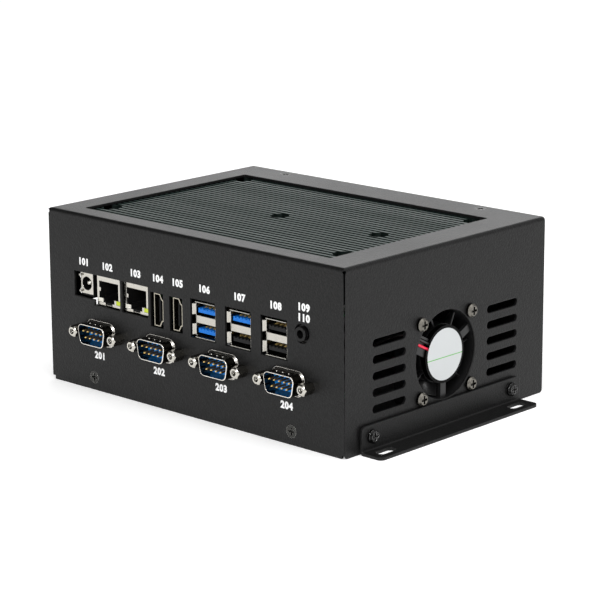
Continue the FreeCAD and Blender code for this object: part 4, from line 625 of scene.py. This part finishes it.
sideways = nodes.new("ShaderNodeVectorMath")
sideways.operation = "MULTIPLY"
sideways.inputs[1].default_value = (0, 1, 1)
distance = nodes.new("ShaderNodeVectorMath")
distance.operation = "LENGTH"
is_hub = nodes.new("ShaderNodeMath")
is_hub.operation = "LESS_THAN"
is_hub.inputs[1].default_value = hub_radius
hub_shade_mix = nodes.new("ShaderNodeMix")
hub_shade_mix.data_type = "RGBA"
hub_shade_mix.inputs["B"].default_value = (*hub_painted_shade, 1)
moulded = shader.inputs["Base Color"].links[0].from_socket
links.new(place.outputs["Object"], from_axis.inputs["Vector"])
links.new(from_axis.outputs["Vector"], sideways.inputs[0])
links.new(sideways.outputs["Vector"], distance.inputs[0])
links.new(distance.outputs["Value"], is_hub.inputs[0])
links.new(is_hub.outputs[0], hub_shade_mix.inputs["Factor"])
links.new(is_hub.outputs[0], shader.inputs["Metallic"])
links.new(moulded, hub_shade_mix.inputs["A"])
links.new(hub_shade_mix.outputs["Result"], shader.inputs["Base Color"])
dress(frame_plastic, "fan_frame")
ferrite = grained(
    "ferrite", dark=(0.02, 0.018, 0.016), light=(0.05, 0.045, 0.04), rough=(0.6, 0.8),
    patch_scale=200.0, grain_scale=2000.0, bump_depth=0.00002)
dress(ferrite, "fan_magnet")

# One red and one black wire lead from the fan's hub to the mainboard. They have
# sleeves of soft plastic and end in a white plug.
red_sleeve = grained(
    "red_sleeve", dark=(0.76, 0.018, 0.055), light=(0.88, 0.030, 0.080), rough=(0.30, 0.42),
    patch_scale=200.0, grain_scale=2500.0, bump_depth=0.000005)
dress(red_sleeve, "red_lead")
black_sleeve = grained(
    "black_sleeve", dark=(0.012, 0.012, 0.012), light=(0.02, 0.02, 0.02),
    rough=(0.30, 0.42), patch_scale=200.0, grain_scale=2500.0, bump_depth=0.000005)
dress(black_sleeve, "black_lead")
white_plastic = grained(
    "white_plastic", dark=(0.62, 0.61, 0.57), light=(0.74, 0.73, 0.69), rough=(0.40, 0.55),
    patch_scale=200.0, grain_scale=2500.0, bump_depth=0.00001)
dress(white_plastic, "lead_plug")

# A round paper label closes the hub of the fan. It is white with one thin green
# line across, under a clear film, and is glued on.
label_radius = 0.0112
label_thickness = 0.00012
line_drop = 0.0012
line_half_width = 0.00018
paper_white = (0.55, 0.57, 0.575)
line_green = (0.08, 0.42, 0.04)
bpy.ops.object.select_all(action="DESELECT")
bpy.ops.mesh.primitive_cylinder_add(vertices=96, radius=label_radius, depth=label_thickness,
                                    location=(hub_high.x + label_thickness / 2, hub_y, hub_z),
                                    rotation=(0, math.pi / 2, 0))
label = bpy.context.object
label.name = "fan_label"
bpy.ops.object.mode_set(mode="EDIT")
bpy.ops.mesh.select_all(action="SELECT")
bpy.ops.mesh.bevel(offset=label_thickness / 3, segments=2)
bpy.ops.object.mode_set(mode="OBJECT")
bpy.ops.object.transform_apply(location=True, rotation=True, scale=True)
label_paper, nodes, links, shader = new_material("label_paper")
place = nodes.new("ShaderNodeTexCoord")
centred = nodes.new("ShaderNodeMapping")
centred.inputs["Location"].default_value = (0, -hub_y, -hub_z)
apart = nodes.new("ShaderNodeSeparateXYZ")
line_height = nodes.new("ShaderNodeMath")
line_height.operation = "ADD"
line_height.inputs[1].default_value = line_drop
line_distance = nodes.new("ShaderNodeMath")
line_distance.operation = "ABSOLUTE"
is_line = nodes.new("ShaderNodeMath")
is_line.operation = "LESS_THAN"
is_line.inputs[1].default_value = line_half_width
label_color = nodes.new("ShaderNodeMix")
label_color.data_type = "RGBA"
label_color.inputs["A"].default_value = (*paper_white, 1)
label_color.inputs["B"].default_value = (*line_green, 1)
fibre = nodes.new("ShaderNodeTexNoise")
fibre.inputs["Scale"].default_value = 1500.0
film = nodes.new("ShaderNodeMapRange")
film.inputs["To Min"].default_value = 0.30
film.inputs["To Max"].default_value = 0.45
links.new(place.outputs["Object"], centred.inputs["Vector"])
links.new(place.outputs["Object"], fibre.inputs["Vector"])
links.new(centred.outputs["Vector"], apart.inputs["Vector"])
links.new(apart.outputs["Z"], line_height.inputs[0])
links.new(line_height.outputs[0], line_distance.inputs[0])
links.new(line_distance.outputs[0], is_line.inputs[0])
links.new(is_line.outputs[0], label_color.inputs["Factor"])
links.new(label_color.outputs["Result"], shader.inputs["Base Color"])
links.new(fibre.outputs["Fac"], film.inputs["Value"])
links.new(film.outputs["Result"], shader.inputs["Roughness"])
label.data.materials.append(label_paper)
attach(label, "case")

# Plain numbers are screen printed in white over each socket and under each
# serial port. They count from the left, the upper row first.
print_height = 0.0042
print_weight = 0.00022
print_depth = 0.00004
print_spacing = 1.12
upper_line = 0.0575
upper_places = (-0.0659, -0.0506, -0.0326, -0.0186, -0.0065, 0.0097, 0.0304, 0.0511)
first_upper = 101
audio_lines = (0.0594, 0.0550)
audio_place = 0.0668
first_audio = 109
serial_line = 0.0163
serial_shift = -0.0008
first_serial = 201
white_ink = grained(
    "white_ink", dark=(0.80, 0.80, 0.80), light=(0.90, 0.90, 0.90), rough=(0.45, 0.60),
    patch_scale=300.0, grain_scale=3000.0, bump_depth=0.000005)
panel_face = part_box("cover")[0].y


def printed(text, x, z):
    bpy.ops.object.select_all(action="DESELECT")
    bpy.ops.object.text_add(location=(x, panel_face, z), rotation=(math.pi / 2, 0, 0))
    number = bpy.context.object
    number.name = "number_" + text
    number.data.body = text
    number.data.size = print_height
    number.data.offset = print_weight
    number.data.space_character = print_spacing
    number.data.extrude = print_depth / 2
    number.data.align_x = "CENTER"
    number.data.align_y = "CENTER"
    number.data.resolution_u = 3
    bpy.ops.object.convert(target="MESH")
    bpy.ops.object.transform_apply(location=True, rotation=True, scale=True)
    number.data.materials.append(white_ink)
    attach(number, "case")


for count, x in enumerate(upper_places):
    printed(str(first_upper + count), x, upper_line)
for count, z in enumerate(audio_lines):
    printed(str(first_audio + count), audio_place, z)
for count, (shell_low, shell_high) in enumerate(shell_boxes):
    printed(str(first_serial + count), (shell_low.x + shell_high.x) / 2 + serial_shift,
            serial_line)
